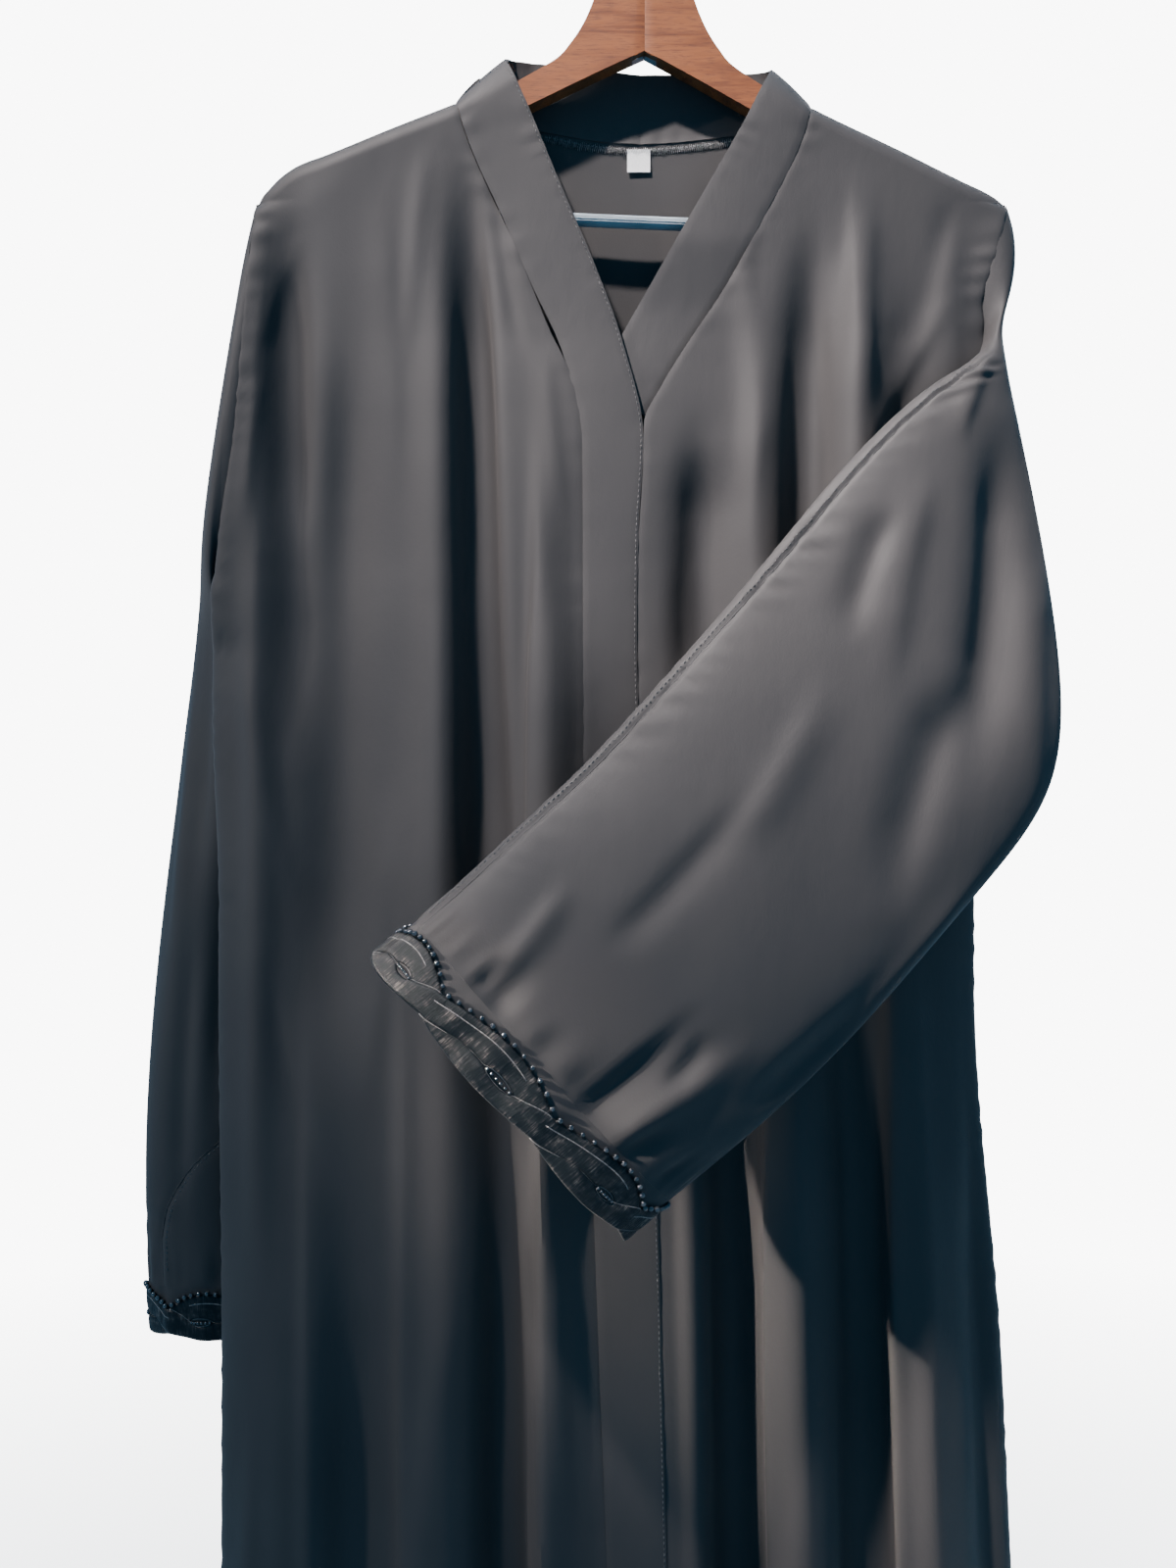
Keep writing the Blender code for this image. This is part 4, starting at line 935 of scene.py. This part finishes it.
def neckband(side):
    """The left half sinks behind the right one where they cross; the right half runs to the hem."""
    grid, across, flat = band_grid(STANDS[side])
    sink = np.zeros(grid.shape[:2])
    if side > 0:
        sink = UNDERLAP_DEPTH * np.clip((UNDERLAP_START_Z - grid[..., 2]) / UNDERLAP_SETTLE, 0.0, 1.0)
        grid[..., 1] += (sink + CROSSING_PAD * smooth(sink)) * flat
    cloth = Cloth(grid, FRONT)
    run = run_along(grid[:, BAND_AROUND // 2])[:, None]
    from_seam, from_edge = across * BAND_WIDTH, (1 - across) * BAND_WIDTH
    seed = 1 if side < 0 else 2
    out = (BAND_PAD - (BAND_PAD - CROSSING_PAD) * smooth(sink / UNDERLAP_DEPTH)
           + BAND_CROWN * np.sin(np.pi * across) * (1 - 0.5 * flat))
    out = out + seam_groove(from_seam, 0.5, 1.3) + seam_groove(from_edge, 0.3, 1.0)
    out = out + 0.35 * ripple(run, 15.0, seed) * bell(from_seam, 9)
    out = out + 0.35 * ripple(run, 13.0, seed + 2) * bell(from_edge, 9)
    if side < 0:
        low = smooth((-900 - grid[..., 2]) / 220)
        wave = ripple(run + 3 * np.sin(across * 5), 19.0, 5)
        out = out + low * 0.55 * wave * np.sin(np.pi * across)
        out = out + swell(grid[..., 0], grid[..., 2], 5) * 0.5
    cloth.push(out)
    cloth.grid[0, :, 0] = CENTRE_BACK_X + side * CENTRE_BACK_GAP
    cloth.flush_start = True
    return cloth


# ---------------------------------------------------------------- sewing and beads


def stitches(name, paths, material, length=2.3, pitch=3.3, width=0.42):
    """Short thread grains along paths of points and normals, in one mesh."""
    points, faces = [], []
    for line, normal in paths:
        run = run_along(line)
        for place in np.arange(pitch / 2, run[-1] - pitch / 2, pitch):
            ends = (place - length / 2, place + length / 2)
            a, b = (np.array([np.interp(end, run, line[:, k]) for k in range(3)]) for end in ends)
            up = np.array([np.interp(place, run, normal[:, k]) for k in range(3)])
            up = up / np.linalg.norm(up)
            along = (b - a) / max(np.linalg.norm(b - a), 1e-6)
            side, middle, base = np.cross(along, up), (a + b) / 2, len(points)
            points += [a, b, middle + side * width, middle - side * width,
                       middle + up * width * 1.3, middle - up * width]
            for p, q, r in ((0, 2, 4), (2, 1, 4), (1, 3, 4), (3, 0, 4),
                            (2, 0, 5), (1, 2, 5), (3, 1, 5), (0, 3, 5)):
                faces.append((base + p, base + q, base + r))
    return new_mesh(name, points, faces, material)


def tubes(name, lines, radius, material, sides=5):
    """Thin closed tubes along lines of points and normals, in one mesh."""
    points, faces, total = [], [], 0
    turn = 2 * np.pi * np.arange(sides) / sides
    cos, sin = np.cos(turn)[None, :, None], np.sin(turn)[None, :, None]
    for line, normals in lines:
        along = np.gradient(line, axis=0)
        along /= np.linalg.norm(along, axis=1, keepdims=True)
        side = np.cross(along, normals)
        side /= np.maximum(np.linalg.norm(side, axis=1, keepdims=True), 1e-9)
        up = np.cross(side, along)
        points.append((line[:, None] + radius * (side[:, None] * cos + up[:, None] * sin)).reshape(-1, 3))
        end = total + len(line) * sides
        faces += (quads(len(line), sides, True)[:, [0, 3, 2, 1]] + total).tolist()
        faces += [tuple(range(total, total + sides)), tuple(reversed(range(end - sides, end)))]
        total = end
    return new_mesh(name, np.concatenate(points), faces, material, sharp=False)


def ball():
    """A bead's points and faces: an icosahedron with each face cut in four."""
    golden = (1 + math.sqrt(5)) / 2
    points = []
    for a in (-1, 1):
        for b in (-golden, golden):
            points += [(a, b, 0), (0, a, b), (b, 0, a)]
    points = np.array(points, float)
    points /= np.linalg.norm(points[0])
    faces, made, cut = [], [], {}
    edge = 2 / math.sqrt(1 + golden ** 2) * 1.01
    for i, j, k in combinations(range(len(points)), 3):
        p, q, r = points[[i, j, k]]
        if max(np.linalg.norm(p - q), np.linalg.norm(q - r), np.linalg.norm(p - r)) < edge:
            faces.append((i, j, k) if np.dot(np.cross(q - p, r - p), p) > 0 else (i, k, j))
    points = list(points)

    def middle(p, q):
        key = (min(p, q), max(p, q))
        if key not in cut:
            point = points[p] + points[q]
            points.append(point / np.linalg.norm(point))
            cut[key] = len(points) - 1
        return cut[key]

    for i, j, k in faces:
        a, b, c = middle(i, j), middle(j, k), middle(k, i)
        made += [(i, a, c), (a, j, b), (c, b, k), (a, b, c)]
    return np.array(points), np.array(made)


BALL_POINTS, BALL_FACES = ball()


def beads(name, places, radii):
    points, faces = [], []
    for index, (place, radius) in enumerate(zip(places, radii)):
        cos, sin = math.cos(1.3 * index), math.sin(1.3 * index)
        spin = np.array(((cos, -sin, 0), (sin, cos, 0), (0, 0, 1)))
        faces.append(BALL_FACES + len(BALL_POINTS) * index)
        points.append(BALL_POINTS @ spin * radius + place)
    return new_mesh(name, np.concatenate(points), np.concatenate(faces).tolist(), bead_glass)


# ---------------------------------------------------------------- cuffs

# Two wavy satin bands cross at each scallop's root, with an eye between them.
SCALLOPS = 7
CUFF_LENGTH = 28.0
CUFF_COLUMNS = 21                # to a scallop
CUFF_DOWN = 32
EDGE_SCALLOP = 3.6
BAND_MIDDLE = 20.5               # from the sleeve's end to the line that the bands cross on
ROOT_HALF = 7.5
UPPER_BULGE = 9.4
EYE_PLACE = 0.64
EYE_REACH = 0.125                # half the eye's length, share of a scallop
EYE_OPEN = 2.5
SATIN_RAISE, OVER_RAISE = 0.9, 1.0
SATIN_STEPS, SATIN_ACROSS = 44, 13
SATIN_WALL = 0.5
CORD_RADIUS = 0.42
SCALLOP_RUN = 61.0
BEAD_PITCH, BEAD_RADIUS = 4.9, 1.7
EYE_BEADS, EYE_PITCH, EYE_BEAD_RADIUS = 6, 2.3, 1.05


def eye_half(place):
    return EYE_OPEN * np.maximum(0.0, 1 - ((place - EYE_PLACE) / EYE_REACH) ** 2) ** 0.75


def upper_edge(place):
    return BAND_MIDDLE - ROOT_HALF - UPPER_BULGE * np.sin(np.pi * place ** 1.25) ** 0.9


def lower_edge(place):
    return CUFF_LENGTH + EDGE_SCALLOP * np.sin(np.pi * place) + 0.2


def upper_inner(place):
    over = ROOT_HALF * (1 - smooth(place / 0.42))
    under = 2.0 * smooth((place - EYE_PLACE - EYE_REACH) / 0.2)
    return BAND_MIDDLE - eye_half(place) + over + under


def lower_inner(place):
    over = ROOT_HALF * smooth((place - 0.72) / 0.28)
    under = 2.0 * (1 - smooth(place / 0.3))
    return BAND_MIDDLE + eye_half(place) - over - under


class Cuff:
    def __init__(self, name, sleeve):
        self.name = name
        columns = SCALLOPS * CUFF_COLUMNS
        around = np.arange(columns) / columns
        before = sleeve.cloth.at(SLEEVE_DOWN - 4.0, around * SLEEVE_AROUND)[0]
        end = sleeve.cloth.at(SLEEVE_DOWN - 1.0, around * SLEEVE_AROUND)[0]
        centre = end.mean(0)
        axis = centre - before.mean(0)
        axis = axis / np.linalg.norm(axis)
        away = end - centre
        away -= away @ axis[:, None] * axis
        away /= np.linalg.norm(away, axis=1, keepdims=True)
        place = np.arange(columns)[None, :] / CUFF_COLUMNS % 1.0
        length = CUFF_LENGTH + EDGE_SCALLOP * np.sin(np.pi * place)
        reach = length * np.linspace(0, 1, CUFF_DOWN)[:, None]
        uneven = ripple(around[None, :] * CUFF_ROUND, 27.0, 9 + sleeve.side) * smooth(reach / 14)
        grid = end + axis * (SEAM_GAP + reach)[..., None] + away * uneven[..., None]
        self.cloth = Cloth(grid, grid - centre, True)

    def on_cuff(self, reach, index, lift):
        """Points at a reach from the sleeve's end and a place round the cuff."""
        length = CUFF_LENGTH + EDGE_SCALLOP * np.abs(np.sin(np.pi * index / CUFF_COLUMNS))
        return self.cloth.at(np.minimum(reach / length, 1.0) * (CUFF_DOWN - 1), index, lift)

    def dress(self):
        """Satin bands, their edge cords, beads along the upper wave and in the eyes."""
        points, faces, runs, offs, cords, spots, radii = [], [], [], [], [], [], []
        place = np.linspace(0.0, 1.0, SATIN_STEPS)
        upper_lift = OVER_RAISE * (1 - smooth((place - 0.12) / 0.34))
        lower_lift = OVER_RAISE * smooth((place - 0.60) / 0.30)
        # each band runs along one scallop's edge, crosses over, and goes on along the next one's top
        near = np.concatenate((lower_inner(place), upper_edge(place)[1:]))[:, None]
        far = np.concatenate((lower_edge(place), upper_inner(place)[1:]))[:, None]
        lift = 0.1 + np.concatenate((lower_lift, upper_lift[1:]))[:, None]
        along = np.concatenate((place, 1 + place[1:]))
        q = np.linspace(-1, 1, SATIN_ACROSS)
        cross = near + (far - near) * (q[None, :] + 1) / 2
        lift = lift + SATIN_RAISE * np.sqrt(np.maximum(0.0, 1 - np.abs(q) ** 4))[None, :]
        early, late = place <= EYE_PLACE + EYE_REACH, place >= EYE_PLACE - EYE_REACH
        edges = ((early, upper_inner(place), upper_lift), (late, lower_inner(place), lower_lift),
                 (place >= 0, lower_edge(place) - 0.4, lower_lift),
                 (early, upper_edge(place) + 5.0, upper_lift + SATIN_RAISE))
        count = int(SCALLOP_RUN / BEAD_PITCH)
        upper = (np.arange(count) + 0.5) / count
        eye = EYE_PLACE + (np.arange(EYE_BEADS) - (EYE_BEADS - 1) / 2) * EYE_PITCH / SCALLOP_RUN
        for scallop in range(SCALLOPS):
            index = (scallop + along) * CUFF_COLUMNS
            points.append(self.on_cuff(cross, index[:, None] + 0 * cross, lift)[0].reshape(-1, 3))
            faces.append(quads(len(along), SATIN_ACROSS) + scallop * cross.size)
            runs.append(np.repeat((scallop + along) * SCALLOP_RUN, SATIN_ACROSS))
            offs.append(cross.reshape(-1))
            index = (scallop + place) * CUFF_COLUMNS
            for chosen, reach, rise in edges:
                cords.append(self.on_cuff(reach[chosen], index[chosen], 0.35 + rise[chosen]))
            spots.append(self.on_cuff(upper_edge(upper) - BEAD_RADIUS * 0.7,
                                      (scallop + upper) * CUFF_COLUMNS, BEAD_RADIUS * 0.9 + 0.2)[0])
            radii += [BEAD_RADIUS * (0.94 + 0.10 * math.sin(5.0 * k + scallop)) for k in range(count)]
            spots.append(self.on_cuff(BAND_MIDDLE, (scallop + eye) * CUFF_COLUMNS,
                                      EYE_BEAD_RADIUS * 0.9 + 0.3)[0])
            radii += [EYE_BEAD_RADIUS] * EYE_BEADS
        faces = np.concatenate(faces)[:, ::1 if self.cloth.sign > 0 else -1]
        ribbon = new_mesh("satin_bands_" + self.name, np.concatenate(points), faces.tolist(), satin)
        for name, values in (("run", runs), ("off", offs)):
            kept = ribbon.data.attributes.new(name, "FLOAT", "POINT")
            kept.data.foreach_set("value", np.concatenate(values).astype(np.float32))
        wall = ribbon.modifiers.new("satin", "SOLIDIFY")
        wall.thickness = SATIN_WALL * MM
        wall.offset = -1.0
        return (ribbon, tubes("edge_cords_" + self.name, cords, CORD_RADIUS, cord_thread),
                beads("beads_" + self.name, np.concatenate(spots), radii))


# ---------------------------------------------------------------- hanger

# Outline of one arm, over its top, round its end and back along its underside: distance from the
# middle, height, before the tilt
HANGER_ROWS = (
    (0, -60), (12, -61.5), (21, -69), (26, -79), (29, -89), (33, -100), (38, -110.5), (45, -121),
    (53, -130), (73, -142.6), (90, -152.4), (106, -160.6), (150, -179.2), (190, -197),
    (201, -202.6), (206, -208), (207, -216), (206, -227), (202, -232), (195, -232), (190.5, -228),
    (190, -217), (180, -212), (150, -198), (106, -178), (69, -158.5), (30, -138), (0, -123),
)
OUTLINE_CUTS = 4
ARM_THICKNESS = 13.6
ARM_ROUNDING = 1.6
BAR_Z = -224.0
BAR_HALF_LENGTH = 189.6
BAR_STEPS = np.linspace(-180, 180, 41)
BAR_RIBS, RIB_CUTS = 18, 6
BAR_RADIUS, BAR_GROOVE = 3.95, 0.42
BAR_ENDS = ((0.0, 0.80), (0.4, 0.95), (1.0, 1.0))    # distance from the tip, share of the radius
HOOK_CENTRE_Z = -19.0
HOOK_RADIUS = 19.0 + 1.7         # of the wire's middle line
HOOK_WIRE_RADIUS = 1.68
HOOK_STEM_LOW_Z, HOOK_STEM_TOP_Z = -60.1, -50.0
HOOK_START, HOOK_END = -60.0, 205.0    # degrees round the loop
HOOK_BEND_PULL = 11.0            # how far the stem's bend reaches toward the loop
HOOK_BEND_STEPS, HOOK_STEPS = 14, 60


def hanger_outline(side):
    """The arm's outline, its corners rounded off by a smooth run through the rows."""
    rows = np.array(HANGER_ROWS, float)
    rows = np.vstack((2 * rows[0] - rows[1], rows, 2 * rows[-1] - rows[-2]))
    points = []
    for p0, p1, p2, p3 in zip(rows, rows[1:], rows[2:], rows[3:]):
        for t in np.arange(OUTLINE_CUTS) / OUTLINE_CUTS:
            points.append(0.5 * (2 * p1 + (p2 - p0) * t + (2 * p0 - 5 * p1 + 4 * p2 - p3) * t * t
                                 + (3 * p1 - p0 - 3 * p2 + p3) * t ** 3))
    points.append(rows[-2])
    line = np.array(points)
    line[:, 0] = np.maximum(line[:, 0], 0.02)
    return [(side * x, 0.0, z - TILT * side * x) for x, z in line]


def hanger_arm(name, side):
    points = hanger_outline(side)
    order = tuple(range(len(points)))[::side]
    obj = new_mesh(name, points, [order], wood_material("wood_" + name, side), sharp=False)
    rounded = obj.vertex_groups.new(name="rounded")
    rounded.add([k for k, point in enumerate(points) if abs(point[0]) > 0.5], 1.0, "REPLACE")
    thick = obj.modifiers.new("thickness", "SOLIDIFY")
    thick.thickness = ARM_THICKNESS * MM
    thick.offset = 0.0
    edge = obj.modifiers.new("edge", "BEVEL")
    edge.width = ARM_ROUNDING * MM
    edge.segments = 3
    edge.limit_method = "VGROUP"
    edge.vertex_group = "rounded"
    obj.modifiers.new("shading", "WEIGHTED_NORMAL")
    return obj


def ribbed_bar():
    count = BAR_RIBS * RIB_CUTS
    turn = 2 * np.pi * np.arange(count) / count
    radius = BAR_RADIUS - BAR_GROOVE * np.abs(np.sin(turn * BAR_RIBS / 2)) ** 0.6
    ends = np.array([BAR_HALF_LENGTH - gap for gap, _ in BAR_ENDS])
    stations = np.concatenate((-ends, BAR_STEPS, ends[::-1]))
    shrink = np.ones(len(stations))
    for place, (_, share) in enumerate(BAR_ENDS):
        shrink[[place, -1 - place]] = share
    grid = np.zeros((len(stations), count, 3))
    grid[..., 0] = stations[:, None]
    grid[..., 1] = radius * np.cos(turn) * shrink[:, None]
    grid[..., 2] = BAR_Z - TILT * stations[:, None] + radius * np.sin(turn) * shrink[:, None]
    points = grid.reshape(-1, 3)
    faces = quads(len(stations), count, True).tolist()
    faces += [tuple(reversed(range(count))), tuple(range(len(points) - count, len(points)))]
    material = plain_material("grey_ribbed_bar", (0.24, 0.285, 0.31), 0.5, 0.0, 0.18, 60.0, 0.1)
    return new_mesh("ribbed_bar", points, faces, material, sharp=False)


def wire_hook():
    """The hook's wire in finer steps than the solid."""
    start = math.radians(HOOK_START)
    join = (HOOK_RADIUS * math.cos(start), HOOK_CENTRE_Z + HOOK_RADIUS * math.sin(start))
    lead = (join[0] + HOOK_BEND_PULL * math.sin(start), join[1] - HOOK_BEND_PULL * math.cos(start))
    foot, rise = (0.0, HOOK_STEM_TOP_Z), (0.0, HOOK_STEM_TOP_Z + HOOK_BEND_PULL * 0.7)
    line = [(0.0, HOOK_STEM_LOW_Z)]
    for t in np.arange(HOOK_BEND_STEPS) / HOOK_BEND_STEPS:
        weights = ((1 - t) ** 3, 3 * t * (1 - t) ** 2, 3 * t * t * (1 - t), t ** 3)
        line.append(tuple(sum(w * p[k] for w, p in zip(weights, (foot, rise, lead, join)))
                          for k in range(2)))
    for i in range(HOOK_STEPS + 1):
        turn = math.radians(HOOK_START + (HOOK_END - HOOK_START) * i / HOOK_STEPS)
        line.append((HOOK_RADIUS * math.cos(turn), HOOK_CENTRE_Z + HOOK_RADIUS * math.sin(turn)))
    points = np.array([(x, 0.0, z) for x, z in line])
    material = plain_material("bright_steel_wire", (0.62, 0.63, 0.65), 0.24, 1.0, 0.06, 90.0)
    return tubes("wire_hook", [(points, np.tile(BACK, (len(points), 1)))], HOOK_WIRE_RADIUS, material, 14)


# ---------------------------------------------------------------- building

for side, word in SIDES:
    keep(hanger_arm("hanger_arm_" + word, side), "wood", "hanger_" + word)
keep(ribbed_bar(), "ribbed_bar", "trouser_bar")
keep(wire_hook(), "steel", "hook")

fronts, bands, sleeves = {}, {}, {}
for side, word in SIDES:
    name, stand = "front_" + word, STANDS[side]
    fronts[side] = front_panel(side, stand.seam, stand.neck_z)
    cloth_piece(fronts[side], name + "_cloth", name, "crepe", crepe)
back = back_panel()
cloth_piece(back, "back_cloth", "back", "crepe", crepe)
for side, word in SIDES:
    name = "neckband_" + word
    bands[side] = neckband(side)
    cloth_piece(bands[side], name + "_cloth", name, "crepe", crepe_band,
                BAND_CLOTH)
SLEEVE_LOOKS = {-1: (hanging_seam_turn, (HANGING_FRONT_CREASES, HANGING_BACK_CREASES)),
                1: (raised_seam_turn, (RAISED_FRONT_CREASES, RAISED_BACK_CREASES))}
for side, word in SIDES:
    name = "sleeve_" + word
    sleeves[side] = Sleeve(side, *SLEEVE_LOOKS[side])
    cloth_piece(sleeves[side].cloth, name + "_cloth", name, "crepe", crepe)
for side, word in SIDES:
    name = "cuff_" + word
    cuff = Cuff(name, sleeves[side])
    cloth_piece(cuff.cloth, name + "_cloth", name, "satin_trim", crepe)
    for trim in cuff.dress():
        keep(trim, "satin_trim")

# size tab: a bare white tab hung under the back neck seam
LABEL_LEFT, LABEL_RIGHT = -10.0, 4.0
LABEL_TOP, LABEL_LOW = -175.0, -189.0
LABEL_COLUMNS, LABEL_ROWS, LABEL_WALL = 17, 19, 0.5
LABEL_GAP, LABEL_CURL = 0.9, 0.7    # from the back at its top, and more of it at its foot
xs, zs = np.meshgrid(np.linspace(LABEL_LEFT, LABEL_RIGHT, LABEL_COLUMNS),
                     np.linspace(LABEL_TOP, LABEL_LOW, LABEL_ROWS))
tab_y = back_y(xs, zs) - LABEL_GAP - LABEL_CURL * ((LABEL_TOP - zs) / (LABEL_TOP - LABEL_LOW)) ** 2
white_tab = plain_material("white_woven_tab", (0.78, 0.77, 0.74), 0.72, 0.0, 0.05, 900.0, 0.2)
cloth_piece(Cloth(np.stack((xs, tab_y, zs), -1), FRONT), "size_tab", "size_label", "white_tab",
            white_tab, LABEL_WALL)


def hem_line(cloth, count):
    """Points and normals of the hem's stitch line."""
    height, width = cloth.grid.shape[:2]
    row = np.interp(HEM_Z + HEM_DEPTH - HEM_LINE_IN, cloth.grid[::-1, width // 2, 2],
                    np.arange(height)[::-1])
    return cloth.at(np.full(count, row), np.linspace(1, width - 2, count), 0.05)


def neck_line(xs, drop, shift, gap):
    """A line inside the back, under the neck seam, with its normals."""
    zs = back_neck(xs) - drop
    line = np.stack((xs + shift, back_y(xs, zs) - gap, zs), -1)
    return line, np.tile(FRONT, (len(xs), 1))


# sewing: near-black threads sunk in the sleeve seams, painted shade along their grooves; topstitches
# beside the sleeve seams, at the hems and along the right band
seam_lines = [sleeves[side].seam_line(skip=14.0, stop=2, offset=0.0, lift=-0.1) for side, _ in SIDES]
keep(tubes("seam_shade_thread", seam_lines, SEAM_SHADE_THREAD_RADIUS, seam_shade_thread, 4), "crepe")
topstitch = [sleeves[side].seam_line(skip=16.0, stop=3, offset=-2.4, lift=0.05) for side, _ in SIDES]
topstitch += [hem_line(fronts[side], HEM_POINTS) for side, _ in SIDES]
topstitch.append(hem_line(back, 2 * HEM_POINTS))
placket_rows = np.linspace(PLACKET_START_ROW, len(bands[-1].grid) - 2, PLACKET_POINTS)
topstitch.append(bands[-1].at(placket_rows, np.full(PLACKET_POINTS, PLACKET_COLUMN), 0.02))
keep(stitches("topstitching", topstitch, thread), "crepe")

# overlock at the back neck: a needle line and two runs of loops
needle = neck_line(np.linspace(*OVERLOCK_SPAN, NEEDLE_POINTS), OVERLOCK_DROP, 0.0, 0.25)
keep(stitches("overlock_needle_line", [needle], loose_thread, 1.8, 2.4, 0.38), "crepe")
loops = []
index = np.arange(LOOP_POINTS)
for turn in (-1, 1):
    xs = np.linspace(*OVERLOCK_SPAN, LOOP_POINTS)
    wander = 0.5 * ripple(xs, 9.0, 2 + turn)
    drop = OVERLOCK_DROP + 3.6 * (index % 2) + wander + 0.8 * np.sin(index * 2.7 + turn)
    loops.append(neck_line(xs, drop - 0.5, 0.6 * turn, 0.55 + 0.3 * turn))
keep(tubes("overlock_loops", loops, LOOP_RADIUS, loose_thread, 4), "crepe")

# ---------------------------------------------------------------- stage, light and camera

FLOOR_HALF, FLOOR_Z = 40000.0, -1620.0
BACKDROP = 9.0                   # brightness of the white seen behind the cloak

# the floor's own grey fades into the backdrop with the distance
pale = Shader("pale_floor", grey(0.86), 0.9)
far = pale.node("VectorMath", operation="LENGTH")
pale.link(pale.place(), far.inputs[0])
fade = pale.node("MapRange", **{"From Min": 1.2, "From Max": 3.2})
pale.link(far.outputs["Value"], fade.inputs["Value"])
away = pale.node("Math", operation="MULTIPLY")
pale.link(fade.outputs["Result"], away.inputs[0])
pale.link(pale.node("LightPath").outputs["Is Camera Ray"], away.inputs[1])
pale.mix(away.outputs["Value"], pale.shader.outputs["BSDF"],
         pale.node("Emission", Strength=BACKDROP).outputs["Emission"], "Material Output")
corners = [(x, y, FLOOR_Z) for x, y in ((-FLOOR_HALF, -FLOOR_HALF), (FLOOR_HALF, -FLOOR_HALF),
                                        (FLOOR_HALF, FLOOR_HALF), (-FLOOR_HALF, FLOOR_HALF))]
floor = new_mesh("floor", corners, [(0, 1, 2, 3)], pale.material, sharp=False)
floor.data.shade_flat()

# blue light from all round; the camera sees white
world = bpy.data.worlds.new("studio")
world.use_nodes = True
studio = Nodes(world.node_tree)
sky = studio.tree.nodes["Background"]
sky.inputs["Color"].default_value = (0.18, 0.57, 1.0, 1.0)
sky.inputs["Strength"].default_value = 0.56
white = studio.node("Background", Color=(1.0, 1.0, 1.0, 1.0), Strength=BACKDROP)
studio.mix(studio.node("LightPath").outputs["Is Camera Ray"], sky.outputs["Background"],
           white.outputs["Background"], "World Output")
bpy.context.scene.world = world

Lamp = namedtuple("Lamp", "name place target size power colour spread")
LAMPS = (
    Lamp("key", (-1.0, -1.05, 1.65), (0.21, 0.0, -0.57), 0.13, 4.5, (1.0, 0.91, 0.89), 21),
    Lamp("upper", (-1.54, -0.63, 0.8), (0.04, -0.02, -0.33), 0.05, 0.3, (1.0, 0.9, 0.86), 24),
    Lamp("lower", (-1.3, -0.61, -0.05), (0.29, -0.03, -0.98), 0.05, 0.52, (1.0, 0.88, 0.8), 11),
    Lamp("fill", (-2.2, -0.7, 0.9), (-0.36, 0.0, -0.62), 0.2, 1.6, (1.0, 0.93, 0.9), 34),
    Lamp("top", (0.3, 0.5, 2.1), (0.0, 0.0, -0.4), 1.4, 14.0, (0.4, 0.75, 1.0), 180),
    Lamp("rim", (1.6, 2.2, 0.6), (0.0, 0.0, -0.7), 1.2, 48.0, (0.72, 0.88, 1.0), 180),
)
for lamp in LAMPS:
    data = bpy.data.lights.new(lamp.name, "AREA")
    data.shape = "DISK"
    data.size = lamp.size
    data.energy = lamp.power
    data.color = lamp.colour
    data.spread = math.radians(lamp.spread)
    light = bpy.data.objects.new(lamp.name, data)
    light.location = lamp.place
    light.rotation_mode = "QUATERNION"
    aim = Vector(lamp.target) - Vector(lamp.place)
    light.rotation_quaternion = aim.to_track_quat("-Z", "Y")
    bpy.context.scene.collection.objects.link(light)

camera_data = bpy.data.cameras.new("camera")
camera_data.lens = 36.11
camera_data.sensor_width = 36.0
camera_data.clip_start = 0.05
camera_data.clip_end = 60.0
camera = bpy.data.objects.new("camera", camera_data)
camera.location = (-0.034, -0.95, -0.563)
camera.rotation_euler = (math.pi / 2, 0.0, 0.0)
bpy.context.scene.collection.objects.link(camera)
bpy.context.scene.camera = camera
